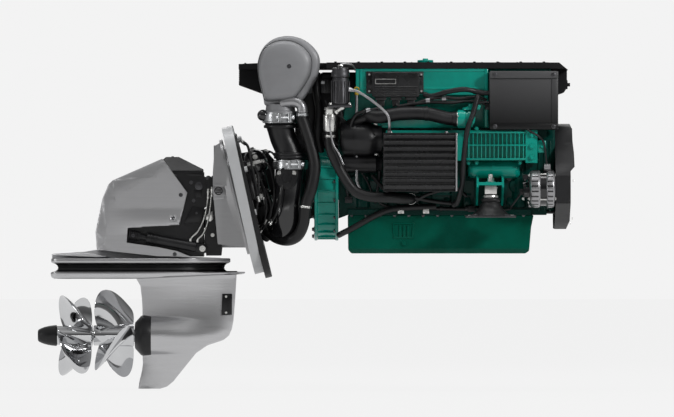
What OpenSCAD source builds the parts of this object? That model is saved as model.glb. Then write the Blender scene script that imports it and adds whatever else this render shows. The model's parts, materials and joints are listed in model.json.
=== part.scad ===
// Stern drive with its diesel engine: out-drive, transom shield, exhaust riser and engine.
// +X points forward, +Y to port, +Z up. The origin is where the crankshaft axis
// crosses the outer face of the transom.

/* [Transom] */
// Lean of the transom from upright
rake = 14; // [12:0.5:16]
// Width of the clamp ring and of the seal behind it
ring_w = 500; // [480:2:540]
// Height of the clamp ring
ring_h = 597; // [570:1:630]
// How far the middle of the ring lies below the crankshaft axis
ring_drop = 28; // [20:1:36]
// Corner radius of the ring
ring_corner = 110; // [60:1:150]
// Thickness of the clamp ring
ring_t = 37; // [30:1:42]
// Thickness of the rubber seal
seal_t = 24; // [16:1:30]
// How far the seal hangs below the ring
seal_skirt = 26; // [5:1:40]
// How far the seal's upper edge lies below the ring's
seal_inset = 34; // [0:1:36]
// Radius of the opening through the ring
opening_r = 205; // [202:1:212]
// Diameter of the circle of transom bolts
bolt_circle = 456; // [448:1:462]
// Number of transom bolts
bolt_n = 8; // [6:1:12]
// Radius of a transom bolt hole
bolt_hole_r = 6.5; // [5:0.5:9]

/* [Shield] */
// Half width of the hood at its open end, outside
hood_half = 166; // [164:1:180]
// Half width of the hood at the ring, outside
hood_root_half = 205; // [195:1:220]
// Wall of the hood
hood_wall = 8; // [5:0.5:10]
// Thickness of the flange on the ring
flange_t = 10; // [6:1:14]
// Radius of the drum that passes through the ring
drum_r = 200; // [196:1:201]
// Radius of the plugs in the cheeks
plug_r = 17; // [12:1:24]

/* [Drive leg] */
// Height of the propeller shafts, below the crankshaft axis
prop_drop = 578; // [570:1:586]
// Half width of the gear housing
leg_half = 84; // [82:0.5:85]
// Half width of the side covers
cover_half = 128; // [118:1:134]
// Wall of the side covers
cover_wall = 4; // [3:0.5:6]
// Radius of the tilt ears
ear_r = 26; // [22:1:30]
// Radius of the tilt pins
tilt_pin_r = 14; // [10:0.5:17]
// Radius of the steering pins
swivel_pin_r = 10; // [8:0.5:13]
// Radius of the vertical shaft
vshaft_r = 14; // [11:0.5:18]
// Radius of the input shaft
input_r = 15; // [12:0.5:18]
// Radius of the inner propeller shaft
inner_r = 18; // [15:0.5:20]
// Radius of the outer propeller shaft
outer_r = 26; // [23:0.5:30]
// Radius of the gearcase body around the propeller shafts
torpedo_r = 76; // [72:1:80]

/* [Yoke and trim] */
// Inner half width between the yoke's arms
yoke_in = 88; // [86.5:0.5:90]
// Thickness of a yoke arm
yoke_t = 12; // [8:1:12]
// Radius of a trim barrel
barrel_r = 20; // [18:0.5:21]
// Radius of a trim rod
rod_r = 11; // [8:0.5:14]
// Radius of a trim anchor pin
anchor_r = 12; // [9:0.5:13]
// Radius of the pin at the rod's eye
rod_pin_r = 6; // [4:0.5:6.5]

/* [Propellers] */
// Radius of the front propeller
front_prop_r = 186; // [170:1:190]
// Radius of the rear propeller
rear_prop_r = 176; // [160:1:186]
// Radius of the propeller hubs
hub_r = 41; // [38:1:44]
// Blades of the front propeller
front_blades = 3; // [3:1:4]
// Blades of the rear propeller
rear_blades = 4; // [3:1:5]
// Pitch of a blade, the travel of one turn
pitch = 620; // [500:5:700]

/* [Engine] */
// Radius of the crankshaft journals
journal_r = 35; // [28:1:40]
// Radius of the flywheel
flywheel_r = 150; // [140:1:155]
// Radius of the flywheel housing
bell_r = 190; // [182:1:198]
// Half width of the cylinder block
block_half = 150; // [140:1:156]
// Height of the sump's underside, below the crankshaft axis
sump_drop = 249; // [235:1:262]
// Radius of the crankshaft pulley
crank_pulley_r = 70; // [60:1:74]
// Radius of the alternator pulley
alt_pulley_r = 32; // [28:1:36]
// Radius of the pump pulley
pump_pulley_r = 52; // [46:1:58]
// Radius of the round exhaust dome
dome_r = 122; // [112:1:126]
// Number of ribs on the charge cooler
cooler_ribs = 9; // [6:1:12]
// Number of ribs on the intake manifold
manifold_ribs = 14; // [8:1:18]
// Side distance of the engine feet from the middle
foot_y = 320; // [300:1:335]
// Height of the engine feet's underside, below the crankshaft axis
foot_drop = 106; // [98:1:114]

/* [Hidden] */
$fn = 48;

// Running clearance of a pin or shaft in its bore
fit = 0.06;
// Gap between faces that lie on each other across a joint
seat = 0.3;
// Gap between curved faces of one body
touch = 0.1;

// Universal joint: where the steering axis, the tilt axis and the crankshaft axis cross
hinge_x = -125;
// Anchor of a trim barrel on the yoke, and of its rod on the leg, side on
barrel_at = [-190, -230];
rod_at = [-466, -178];
ram_y = 111.5;
ram_len = norm(rod_at - barrel_at);
ram_tilt = atan2(rod_at[1] - barrel_at[1], barrel_at[0] - rod_at[0]);
// The vertical shaft's place along the leg
vshaft_x = -290;
prop_z = -prop_drop;
front_x = -186;

ring_front = -seal_t;
ring_back = -seal_t - ring_t;
flange_back = ring_back - flange_t;
wall_front = -2;
wall_back = -14;

leg_green = "#0f6a55";
cast_grey = "#b9bbbb";
satin_black = "#1d1e20";

// Shapes that are used throughout
module raked() rotate([0, -rake, 0]) children();

// An outline in X and Z, made as thick as y0 to y1
module side(y0, y1) translate([0, y1, 0]) rotate([90, 0, 0]) linear_extrude(y1 - y0) children();

// An outline in Y and Z, made as long as x0 to x1
module front(x0, x1) translate([x0, 0, 0]) rotate([90, 0, 90]) linear_extrude(x1 - x0) children();

// An outline in X and Y, made as high as z0 to z1
module plan(z0, z1) translate([0, 0, z0]) linear_extrude(z1 - z0) children();

module rod_x(r, x0, x1, y = 0, z = 0) translate([x0, y, z]) rotate([0, 90, 0]) cylinder(r = r, h = x1 - x0);
module cone_x(r0, r1, x0, x1, y = 0, z = 0) translate([x0, y, z]) rotate([0, 90, 0])
    cylinder(r1 = r0, r2 = r1, h = x1 - x0);
module rod_y(r, y0, y1, x = 0, z = 0) translate([x, y0, z]) rotate([-90, 0, 0]) cylinder(r = r, h = y1 - y0);
module rod_z(r, z0, z1, x = 0, y = 0) translate([x, y, z0]) cylinder(r = r, h = z1 - z0);

// A box from its two corners
module block(a, b) translate(a) cube(b - a);

module both() {
    children();
    mirror([0, 1, 0]) children();
}

// Rounded rectangle about a centre
module pad(w, h, r) offset(r = r) square([w - 2 * r, h - 2 * r], center = true);

// Points of a smooth curve through the given ones
function blend4(a, b, c, d, t) = 0.5 * ((2 * b) + (c - a) * t + (2 * a - 5 * b + 4 * c - d) * t * t
    + (3 * b - a - 3 * c + d) * t * t * t);
function at(p, i) = p[max(0, min(len(p) - 1, i))];
function smooth(p, n) = concat([for (i = [0 : len(p) - 2], k = [0 : n - 1])
    blend4(at(p, i - 1), p[i], p[i + 1], at(p, i + 2), k / n)], [p[len(p) - 1]]);
function unit(v) = v / norm(v);
function way(p, i) = unit(at(p, i + 1) - at(p, i - 1));
function across(t) = unit(cross(t, abs(t[2]) > 0.9 ? [0, 1, 0] : [0, 0, 1]));

// A round hose or pipe along a curve through the given points
module hose(points, r, sides = 16, steps = 4) {
    p = smooth(points, steps);
    n = len(p);
    first = across(way(p, 0));
    frames = [for (i = 0, u = first; i < n; i = i + 1,
        u = unit(u - (i < n ? way(p, i) * (u * way(p, i)) : [0, 0, 0]))) u];
    rings = [for (i = [0 : n - 1], k = [0 : sides - 1])
        let (t = way(p, i), u = unit(frames[i] - t * (frames[i] * t)), v = cross(t, u))
        p[i] + r * (u * cos(360 * k / sides) + v * sin(360 * k / sides))];
    walls = [for (i = [0 : n - 2], k = [0 : sides - 1])
        let (j = (k + 1) % sides)
        [i * sides + k, (i + 1) * sides + k, (i + 1) * sides + j, i * sides + j]];
    start = [[for (k = [0 : sides - 1]) k]];
    end = [[for (k = [sides - 1 : -1 : 0]) (n - 1) * sides + k]];
    polyhedron(points = rings, faces = concat(walls, start, end), convexity = 6);
}

// Half a wing section as points, from the nose back to the tail
function wing(nose, tail, half, n = 14) = [for (i = [0 : n])
    let (s = i / n, u = s * s)
    [nose + (tail - nose) * u, half * (2.6 * sqrt(u) - 1.35 * u - 1.25 * u * u) / 1.02]];
function wing_outline(nose, tail, half) = concat(wing(nose, tail, half),
    [for (p = wing(tail, nose, 1, 14)) if (p[0] > tail + 1 && p[0] < nose - 1)
        let (u = (nose - p[0]) / (nose - tail))
        [p[0], -half * (2.6 * sqrt(u) - 1.35 * u - 1.25 * u * u) / 1.02]]);

// Bellows of n folds along X
module bellows(x0, x1, r_out, r_in, wall, n, z) {
    step = (x1 - x0) / n;
    outside = [for (i = [0 : 2 * n]) [i % 2 == 0 ? r_in : r_out, x0 + i * step / 2]];
    inside = [for (i = [2 * n : -1 : 0]) [(i % 2 == 0 ? r_in : r_out) - wall, x0 + i * step / 2]];
    translate([0, 0, z]) rotate([0, 90, 0]) rotate_extrude() polygon(concat(outside, inside));
}

// Drive leg: outlines side on
housing_outline = [[front_x, 75], [front_x, -262], [-566, -262], [-598, -232], [-600, -165],
    [-575, -34], [-545, 20], [-350, 75]];
cover_outline = [[-611, -231], [-616, -163], [-588, -29], [-564, 26], [-548, 42], [-352, 128],
    [-346, 124], [-251, -7], [-239, -261], [-244, -262], [-368, -260], [-609, -234]];
// The flat outer face of a cover, inside its sloping bands
cover_face = [[-578, -205], [-574, -150], [-536, -28], [-505, -2], [-388, 58], [-372, 56],
    [-302, -14], [-304, -230], [-380, -232], [-570, -212]];
// The open bay for the trim ram, from its aft end forward
bay_outline = [[-492, -206], [-488, -148], [-282, -136], [-251, -7], [-200, -7], [-200, -261],
    [-239, -261], [-291, -240], [-368, -224]];
cover_edge = 12;
// Each cover screw side on, and how far out from the housing its head sits
cover_screws = [[-276, -16, 22], [-307, -107, 38], [-300, -252, 17]];
top_outline = [[-349, 75 + touch], [-349, 126], [-337, 136], [-286, 136], [-189, 87], [-189, 75 + touch]];
// The slot in the housing's top that clears the upper swivel as the leg tilts up
slot_half = 34;
slot_outline = [[-207, 50], [-277, 133], [-300, 170], [-100, 170], [-100, 50]];

pinion_pitch = 36;
ring_pitch = 48;
mitre_pitch = 36;
gear_face = 16;
chamber_r = 60;
upper_chamber_r = 66;
upper_chamber_h = 54;
shaft_top = 48;

module shaft_bore(z0, z1) rod_z(vshaft_r + fit, z0, z1, vshaft_x);

module upper_gear_housing() color(satin_black) difference() {
    union() {
        side(-leg_half, leg_half) polygon(housing_outline);
        both() side(leg_half - 24, leg_half) {
            translate([hinge_x, 0]) circle(r = ear_r);
            polygon([[hinge_x, ear_r], [front_x - 1, 60], [front_x - 1, -70], [hinge_x, -ear_r]]);
        }
    }
    both() rod_y(tilt_pin_r + fit, leg_half - 30, leg_half + 1, hinge_x, 0);
    side(-slot_half, slot_half) polygon(slot_outline);
    rod_x(input_r + fit, vshaft_x, front_x + 1);
    rod_z(upper_chamber_r, -upper_chamber_h, upper_chamber_h, vshaft_x);
    shaft_bore(-270, 0);
    exhaust_passage();
    both() rod_y(rod_pin_r, leg_half - 14, leg_half + 1, rod_at[0], rod_at[1]);
}

exhaust_z = -110;
exhaust_r = 30;
module exhaust_passage() rod_x(exhaust_r, -235, front_x + 1, 0, exhaust_z);

module cover_shape(inset) hull() {
    side(leg_half + touch, leg_half + touch + cover_edge - inset)
        offset(delta = -inset) polygon(cover_outline);
    side(cover_half - 1 - inset, cover_half - inset) offset(delta = -inset) polygon(cover_face);
}

// The starboard cover, drawn on the port side of the frame and mirrored below
module cover() difference() {
    cover_shape(0);
    difference() {
        hull() {
            side(leg_half - 1, leg_half + touch + cover_edge - cover_wall)
                offset(delta = -cover_wall) polygon(cover_outline);
            side(cover_half - 1 - cover_wall, cover_half - cover_wall)
                offset(delta = -cover_wall) polygon(cover_face);
        }
        side(leg_half - 2, cover_half) offset(delta = cover_wall) polygon(bay_outline);
        for (p = cover_screws) rod_y(screw_head_r + 4, leg_half - 2, cover_half, p[0], p[1]);
    }
    side(leg_half - 2, cover_half + 1) polygon(bay_outline);
    for (p = cover_screws) rod_y(screw_r + touch, leg_half - 2, cover_half + 1, p[0], p[1]);
    for (p = cover_screws) rod_y(screw_head_r + touch, leg_half + p[2], cover_half + 1, p[0], p[1]);
}
module cover_starboard() color(cast_grey) mirror([0, 1, 0]) cover();
module cover_port() color(cast_grey) cover();

top_crown = 40;
module cover_top() color("#2b2c2e") difference() {
    intersection() {
        side(-leg_half, leg_half) polygon(top_outline);
        front(-360, -180) polygon([[-leg_half, 75], [-leg_half, 80], [-top_crown, 138], [top_crown, 138],
            [leg_half, 80], [leg_half, 75]]);
    }
    side(-slot_half, slot_half) polygon(slot_outline);
}

screw_r = 4;
screw_head_r = 7;
screw_head_t = 4;
module cover_screw(p) {
    rod_y(screw_r, leg_half + touch, leg_half + p[2] + 1, p[0], p[1]);
    rod_y(screw_head_r, leg_half + p[2] + touch, leg_half + p[2] + screw_head_t, p[0], p[1]);
}

module drive_fasteners() color("#3a3b3d") both() {
    for (p = cover_screws) cover_screw(p);
    difference() {
        rod_y(rod_pin_r, leg_half - 13, ram_y + barrel_r + 3, rod_at[0], rod_at[1]);
        rod_y(2.5, ram_y + barrel_r - 4, ram_y + barrel_r + 4, rod_at[0], rod_at[1]);
    }
}

// Plates and strut of the lower unit
plate_top = -270;
plate_t = 16;
channel_bottom = -323;
lower_plate_top = -323;
lower_plate_t = 26;
upper_plan = [[-81, 9], [-140, 60], [-250, 122], [-420, 150], [-620, 146], [-760, 124], [-793, 96]];
lower_plan = [[-21, 7], [-95, 52], [-230, 120], [-420, 158], [-640, 154], [-770, 130], [-795, 104]];
wedge_outline = [[-790, -251], [-666, -244], [-614, -240], [-592, -262 - touch], [front_x, -262 - touch],
    [front_x + 6, -271], [-790, -271]];
module mirrored_plan(half) polygon(concat(half, [for (i = [len(half) - 1 : -1 : 0]) [half[i][0], -half[i][1]]]));

module intermediate_housing() color("#8c8f90") difference() {
    union() {
        difference() {
            side(-96, 96) polygon(wedge_outline);
            both() translate([-800, 96, -238]) rotate([38, 0, 0]) cube([260, 40, 40], center = false);
        }
        plan(plate_top - plate_t, plate_top) mirrored_plan(upper_plan);
        plan(channel_bottom + touch, plate_top - 1) offset(delta = -24) mirrored_plan(upper_plan);
    }
    shaft_bore(-400, 0);
}

case_outline = [[-55, -330], [-61, -434], [-71, -545], [-84, -574], [-107, -593], [-172, -616],
    [-217, -649], [-269, -714], [-309, -763], [-335, -785], [-361, -791], [-448, -789], [-445, -766],
    [-429, -688], [-432, -652], [-432, -441], [-439, -376], [-458, -352], [-470, -330]];
strut_half = 42;
skeg_half = 13;
torpedo_nose = -76;
case_end = -432;
grille_span = [-113, -76];
grille_z = [-495, -411];
grille_y = [15, 21];
chamber_front = -226;
nose_bearing = -206;

module torpedo() translate([0, 0, prop_z]) rotate([0, 90, 0]) rotate_extrude()
    polygon(concat([[0, case_end]], [for (i = [0 : 16])
        let (s = i / 16)
        [torpedo_r * sqrt(max(0, 1 - pow(s, 3.2))), case_end + (torpedo_nose - case_end) * s]]));

module lower_gearcase() color("#9b9d9e") difference() {
    union() {
        intersection() {
            union() {
                plan(-700, lower_plate_top - 2) polygon(wing_outline(-52, -478, strut_half));
                plan(-800, -600) polygon(wing_outline(-52, -478, skeg_half));
                torpedo();
            }
            side(-120, 120) polygon(case_outline);
        }
        plan(lower_plate_top - lower_plate_t, lower_plate_top) mirrored_plan(lower_plan);
    }
    shaft_bore(prop_z, -300);
    rod_x(chamber_r, case_end - 40, chamber_front, 0, prop_z);
    rod_z(ring_pitch - 3, prop_z, prop_z + ring_pitch + 10, vshaft_x);
    rod_x(inner_r + fit, chamber_front - 1, nose_bearing, 0, prop_z);
    both() grille_block(touch);
}

module grille_block(extra) block([grille_span[0] - extra, grille_y[0] - extra, grille_z[0] - extra],
    [grille_span[1] + extra, grille_y[1] + 40 * extra, grille_z[1] + extra]);

module inlet_grilles() color("black") both() difference() {
    grille_block(0);
    for (i = [0 : 6]) block([-106, grille_y[1] - 3, -482 + i * 9], [-86, grille_y[1] + 1, -478 + i * 9]);
    for (z = [-424, -486]) rod_y(3, grille_y[1] - 4, grille_y[1] + 1, -96, z);
}

collar_x = [-461, -345];
collar_face = -400;
module shaft_collar() color("#232425") difference() {
    translate([0, 0, prop_z]) rotate([0, 90, 0]) rotate_extrude() polygon([[outer_r + fit, collar_x[1]],
        [chamber_r - touch, collar_x[1]], [chamber_r - touch, case_end - touch],
        [torpedo_r + 1, case_end - touch], [torpedo_r + 1, case_end - 4], [47, collar_x[0]],
        [outer_r + fit, collar_x[0]]]);
}

// Propellers and their shafts
hub_front = [-627, -465];
hub_rear = [-774, -631];
front_gear_x = vshaft_x - pinion_pitch;

// A blade drawn about the X axis, root at radius r0, tip at r1
module blade(r0, r1, chord, hand, x_mid, sweep, thick) {
    nr = 9;
    nc = 8;
    grid = [for (f = [1, -1], i = [0 : nr], k = [0 : nc])
        let (s = i / nr, r = r0 + (r1 - r0) * (1 - pow(1 - s, 1.35)),
            c = chord * (0.52 + 0.9 * s - 0.15 * s * s) * sqrt(max(0.012, 1 - pow(s, 4.2))),
            phi = atan(pitch / (2 * PI * r)), q = 2 * k / nc - 1,
            mid = sweep * pow(s, 1.6), lie = q * c / 2,
            t = (thick * (1 - 0.72 * s) * (1 - q * q) + 1.1) / 2,
            x = x_mid - 16 * s + lie * sin(phi) + f * t * cos(phi),
            a = hand * (mid + (lie * cos(phi) - f * t * sin(phi)) / r * 180 / PI))
        [x, r * sin(a), r * cos(a)]];
    m = (nr + 1) * (nc + 1);
    function id(f, i, k) = f * m + i * (nc + 1) + k;
    top = [for (i = [0 : nr - 1], k = [0 : nc - 1]) [id(0, i, k), id(0, i, k + 1), id(0, i + 1, k + 1), id(0, i + 1, k)]];
    under = [for (i = [0 : nr - 1], k = [0 : nc - 1]) [id(1, i, k), id(1, i + 1, k), id(1, i + 1, k + 1), id(1, i, k + 1)]];
    lead = [for (i = [0 : nr - 1]) [id(0, i, 0), id(0, i + 1, 0), id(1, i + 1, 0), id(1, i, 0)]];
    trail = [for (i = [0 : nr - 1]) [id(0, i, nc), id(1, i, nc), id(1, i + 1, nc), id(0, i + 1, nc)]];
    root = [for (k = [0 : nc - 1]) [id(0, 0, k), id(1, 0, k), id(1, 0, k + 1), id(0, 0, k + 1)]];
    tip = [for (k = [0 : nc - 1]) [id(0, nr, k), id(0, nr, k + 1), id(1, nr, k + 1), id(1, nr, k)]];
    quads = concat(top, under, lead, trail, root, tip);
    halves = [for (q = quads) each [[q[0], q[1], q[2]], [q[0], q[2], q[3]]]];
    polyhedron(points = grid, faces = hand < 0 ? halves : [for (h = halves) [h[2], h[1], h[0]]], convexity = 4);
}

module front_propeller() color("#c9cbcc") difference() {
    union() {
        cone_x(hub_r - 1, hub_r + 3, hub_front[0], hub_front[1], 0, prop_z);
        for (i = [0 : front_blades - 1]) translate([0, 0, prop_z]) rotate([360 * i / front_blades + 8, 0, 0])
            blade(hub_r - 8, front_prop_r, 218, 1, -538, 26, 13);
    }
    rod_x(outer_r + fit, hub_front[0] - 1, hub_front[1] + 1, 0, prop_z);
}

module outer_prop_shaft() color("#8f9294") difference() {
    union() {
        rod_x(outer_r, hub_front[0] + 4, front_gear_x + 2, 0, prop_z);
        cone_x(ring_pitch + gear_face / 2, ring_pitch - gear_face / 2, front_gear_x - 6.5, front_gear_x + 5.5, 0, prop_z);
    }
    rod_x(inner_r + fit, hub_front[0], front_gear_x + 20, 0, prop_z);
}

module rear_propeller() color("#c9cbcc") difference() {
    union() {
        cone_x(hub_r - 4, hub_r - 1, hub_rear[0], hub_rear[1], 0, prop_z);
        for (i = [0 : rear_blades - 1]) translate([0, 0, prop_z]) rotate([360 * i / rear_blades + 20, 0, 0])
            blade(hub_r - 8, rear_prop_r, 188, -1, -694, 24, 12);
    }
    rod_x(inner_r + fit, hub_rear[0] - 1, hub_rear[1] + 1, 0, prop_z);
}

cone_x0 = -850;
module nose_cone() color("#1a1b1c") difference() {
    translate([0, 0, prop_z]) rotate([0, 90, 0]) rotate_extrude() polygon([[0, cone_x0], [11, cone_x0],
        [15, cone_x0 + 3], [27, cone_x0 + 30], [34, cone_x0 + 52], [37, hub_rear[0] - touch],
        [0, hub_rear[0] - touch]]);
    rod_x(inner_r + fit, hub_rear[0] - 30, hub_rear[0] + 1, 0, prop_z);
}

module inner_prop_shaft() color("#8f9294") {
    rod_x(inner_r, hub_rear[0] - 28, nose_bearing - 2, 0, prop_z);
    cone_x(ring_pitch - gear_face / 2, ring_pitch + gear_face / 2, vshaft_x + pinion_pitch - 5.5,
        vshaft_x + pinion_pitch + 6.5, 0, prop_z);
}

module vertical_shaft() color("#85888a") {
    rod_z(vshaft_r, prop_z + ring_pitch, shaft_top, vshaft_x);
    translate([vshaft_x, 0, prop_z + ring_pitch - 7.5]) cylinder(r1 = 30, r2 = 42, h = gear_face);
    for (s = [1, -1]) scale([1, 1, s]) translate([vshaft_x, 0, mitre_pitch - 7.5])
        cylinder(r1 = mitre_pitch - 8, r2 = mitre_pitch + 8, h = gear_face);
    rod_z(22, -14, 14, vshaft_x);
}

ball_r = 30;
cup_r = 38;
module input_shaft() color("#85888a") {
    rod_x(input_r, vshaft_x + mitre_pitch, hinge_x);
    translate([hinge_x, 0, 0]) sphere(r = ball_r);
    cone_x(mitre_pitch - 8, mitre_pitch + 8, vshaft_x + mitre_pitch - 7.5, vshaft_x + mitre_pitch + 8.5);
}

// Steering yoke
arm_outline = [[-50, 40], [-22, 64], [16, 112], [36, 112], [36, 84], [26, 30], [26, -60], [14, -200],
    [8, -258], [-50, -258], [-58, -205], [-52, -60]];
bridge_x = [16, 36];
bridge_z = [84, 112];
tongue_half = 28;
floor_bridge_z = [-200, -180];
yoke_out = yoke_in + yoke_t;
anchor_end = ram_y + 8.5;

module steering_yoke() color("#222325") difference() {
    union() {
        both() side(yoke_in, yoke_out) translate([hinge_x, 0]) polygon(arm_outline);
        both() rod_y(20, yoke_in, yoke_out, barrel_at[0], barrel_at[1]);
        both() rod_y(anchor_r, yoke_out - 1, anchor_end, barrel_at[0], barrel_at[1]);
        block([hinge_x + bridge_x[0], -yoke_out, bridge_z[0]], [hinge_x + bridge_x[1], yoke_out, bridge_z[1]]);
        plan(bridge_z[1] - 22, bridge_z[1]) translate([hinge_x, 0]) {
            circle(r = 18);
            polygon([[0, 18], [bridge_x[0] + 2, tongue_half], [bridge_x[0] + 2, -tongue_half], [0, -18]]);
        }
        block([hinge_x - 15, -yoke_out, floor_bridge_z[0]], [hinge_x + 15, yoke_out, floor_bridge_z[1]]);
        both() rod_y(20, yoke_out - 1, yoke_out + 3, hinge_x, 0);
    }
    both() rod_y(tilt_pin_r + fit, yoke_in - 1, yoke_out + 4, hinge_x, 0);
    rod_z(swivel_pin_r + fit, -300, 200, hinge_x);
}

module tilt_pins() color("#8f9294") both() rod_y(tilt_pin_r, leg_half - 27, yoke_out + 3, hinge_x, 0);

// Two trim pipes on each side, from fittings on a yoke arm down to the barrel
fitting_r = 5.5;
fitting_y = yoke_out + fitting_r + touch;
trim_routes = [
    [[-168, fitting_y, -4], [-171, 107, -50], [-184, 109, -110], [-208, 111, -160], [-232, 112, -184], [-236, 112, -200]],
    [[-153, fitting_y, 4], [-157, 107, -50], [-168, 109, -120], [-186, 111, -168], [-206, 112, -190], [-210, 112, -205]]];
module trim_hoses() color("#c4c6c8") both() for (route = trim_routes) {
    hose(route, 3.2, 8, 3);
    rod_z(fitting_r, route[0][2] - 26, route[0][2] + 10, route[0][0], fitting_y);
}

joint_bellows_r = 52;
exhaust_bellows_r = 40;
module bellows_aft() color("#141415") {
    bellows(front_x + seat, hinge_x - seat, joint_bellows_r, joint_bellows_r - 8, 3, 5, 0);
    bellows(front_x + seat, hinge_x - seat, exhaust_bellows_r, exhaust_bellows_r - 6, 3, 5, exhaust_z);
}
snout_end = -44;
module bellows_fore() color("#141415") {
    bellows(hinge_x + seat, snout_end - seat, joint_bellows_r, joint_bellows_r - 8, 3, 6, 0);
    bellows(hinge_x + seat, snout_end - seat, exhaust_bellows_r, exhaust_bellows_r - 6, 3, 6, exhaust_z);
}

// Trim rams, drawn along their own axis from the barrel's anchor
bore_start = 25;
gland = [220, 234];
piston = [46.5, 53.5];
rod_eye_r = 20;
module along_ram() translate([barrel_at[0], ram_y, barrel_at[1]]) rotate([0, ram_tilt, 0]) mirror([1, 0, 0])
    children();

module trim_barrel() along_ram() difference() {
    union() {
        rod_x(barrel_r, 8, gland[1]);
        rod_y(barrel_r, -10.9, 8.5, 0, 0);
        for (i = [0 : 2]) rod_x(barrel_r + 1.5, gland[0] - 10 + i * 8, gland[0] - 6 + i * 8);
    }
    rod_x(barrel_r - 3.5, bore_start, gland[0]);
    rod_x(rod_r + 0.2, bore_start, gland[1] + 1);
    rod_y(anchor_r + fit, -30, 30, 0, 0);
    block([-30, -60, -60], [barrel_r, -10.9, 60]);
    block([-30, 8.5, -60], [barrel_r, 60, 60]);
}
module trim_barrel_starboard() color("#202123") mirror([0, 1, 0]) trim_barrel();
module trim_barrel_port() color("#202123") trim_barrel();

rod_eye_bore = 14.4;
collar_back = 24;
module trim_rod() along_ram() difference() {
    union() {
        rod_x(rod_r, piston[0], ram_len - 10);
        rod_x(barrel_r - 3.8, piston[0], piston[1]);
        rod_x(rod_eye_r - 2, ram_len - collar_back, ram_len + 17);
        for (i = [0 : 4]) rod_x(rod_eye_r, ram_len - collar_back + i * 9, ram_len - collar_back + 5 + i * 9);
    }
    rod_y(rod_eye_bore, -60, 60, ram_len, 0);
}
module trim_rod_starboard() color("#2a2b2d") mirror([0, 1, 0]) trim_rod();
module trim_rod_port() color("#2a2b2d") trim_rod();

// Transom shield, ring and seal
hood_outline = [[-80, 206], [-109, 197], [-137, 181], [-143, 143], [-148, 72], [-147, 0], [-129, -206],
    [-127, -212], [-6, -225], [60, -230], [60, 206]];
hood_plan = [[-170, hood_half], [-100, hood_half + 6], [-30, hood_root_half], [80, hood_root_half]];
swing_r = hood_half - hood_wall - 2;
// Half width of the cut in the roof that the leg rises through
roof_gap = 131;
lug_z = [bridge_z[1] + seat, 188];
floor_lug_z = [-226, floor_bridge_z[0] - seat];

module hood_body(inset, stretch) intersection() {
    side(-300, 300) union() {
        offset(delta = -inset) polygon(hood_outline);
        if (stretch) translate([-inset - 2, 0]) offset(delta = -inset) polygon(hood_outline);
    }
    plan(-400, 400) offset(delta = -inset) mirrored_plan(hood_plan);
}

module transom_shield() color(cast_grey) difference() {
    union() {
        difference() {
            hood_body(0, false);
            hood_body(hood_wall, true);
            block([-200, -hood_half + hood_wall, -206], [-110, hood_half - hood_wall, 176]);
            raked() block([ring_back - touch, -400, -500], [400, 400, 500]);
            rod_z(swing_r, -300, -150, hinge_x);
            block([-200, -roof_gap, 120], [-104, roof_gap, 260]);
        }
        raked() difference() {
            front(flange_back, ring_back - touch) translate([0, -8]) pad(460, 470, 90);
            rod_x(drum_r - hood_wall, flange_back - 1, ring_back + 1);
        }
        raked() difference() {
            rod_x(drum_r, flange_back, wall_front);
            rod_x(drum_r - hood_wall, flange_back - 1, wall_back);
        }
        rod_z(22, lug_z[0], lug_z[1] - 6, hinge_x);
        intersection() {
            union() {
                block([hinge_x, -22, lug_z[0] + 30], [-40, 22, lug_z[1]]);
                block([hinge_x, -22, floor_lug_z[0]], [-2, 22, floor_lug_z[1]]);
            }
            raked() block([-400, -100, -400], [ring_back - touch, 100, 400]);
        }
        rod_z(22, floor_lug_z[0], floor_lug_z[1], hinge_x);
        rod_x(joint_bellows_r - 1, snout_end, 0);
        rod_x(exhaust_bellows_r - 1, snout_end, 20, 0, exhaust_z);
        both() rod_y(26, hood_half - 2, hood_half + 6, hinge_x, 0);
        both() for (z = [24, -24]) block([hinge_x - 18, hood_half - 4, z - 3], [hinge_x + 32, hood_half + 10, z + 3]);
    }
    rod_z(swivel_pin_r + fit, -240, 165, hinge_x);
    rod_x(34, snout_end - 1, 30);
    rod_x(exhaust_r, snout_end - 1, 60, 0, exhaust_z);
    both() rod_y(plug_r + fit, hood_half - 12, hood_half + 12, hinge_x, 0);
}

module pin_plugs() color("#18191a") both() difference() {
    rod_y(plug_r, hood_half - 6, hood_half + 8, hinge_x, 0);
    rod_y(plug_r - 5, hood_half + 5, hood_half + 12, hinge_x, 0);
}

module swivel_pins() color("#8f9294") {
    rod_z(swivel_pin_r, bridge_z[1] - 20, 160, hinge_x);
    rod_z(swivel_pin_r, floor_lug_z[0] + 2, floor_bridge_z[1] - 2, hinge_x);
}

module bolt_rods(r, x0, x1) for (i = [0 : bolt_n - 1]) {
    a = 360 * (i + 0.5) / bolt_n;
    rod_x(r, x0, x1, bolt_circle / 2 * cos(a), bolt_circle / 2 * sin(a));
}

// Each bolt runs in a sleeve of the ring that keeps the rubber seal from being crushed
sleeve_r = bolt_hole_r + 5;

module clamp_ring() color("#a9acad") raked() difference() {
    union() {
        front(ring_back, ring_front) translate([0, -ring_drop]) pad(ring_w, ring_h, ring_corner);
        bolt_rods(sleeve_r, ring_front - 1, 0);
    }
    rod_x(opening_r, ring_back - 1, ring_front + 1);
    bolt_rods(bolt_hole_r, ring_back - 1, 1);
}

module transom_seal() color("#101011") raked() difference() {
    front(ring_front, 0) translate([0, -ring_drop - (seal_skirt + seal_inset) / 2])
        pad(ring_w, ring_h + seal_skirt - seal_inset, ring_corner);
    rod_x(opening_r, ring_front - 1, 1);
    bolt_rods(sleeve_r + fit, ring_front - 1, 1);
}

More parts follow.
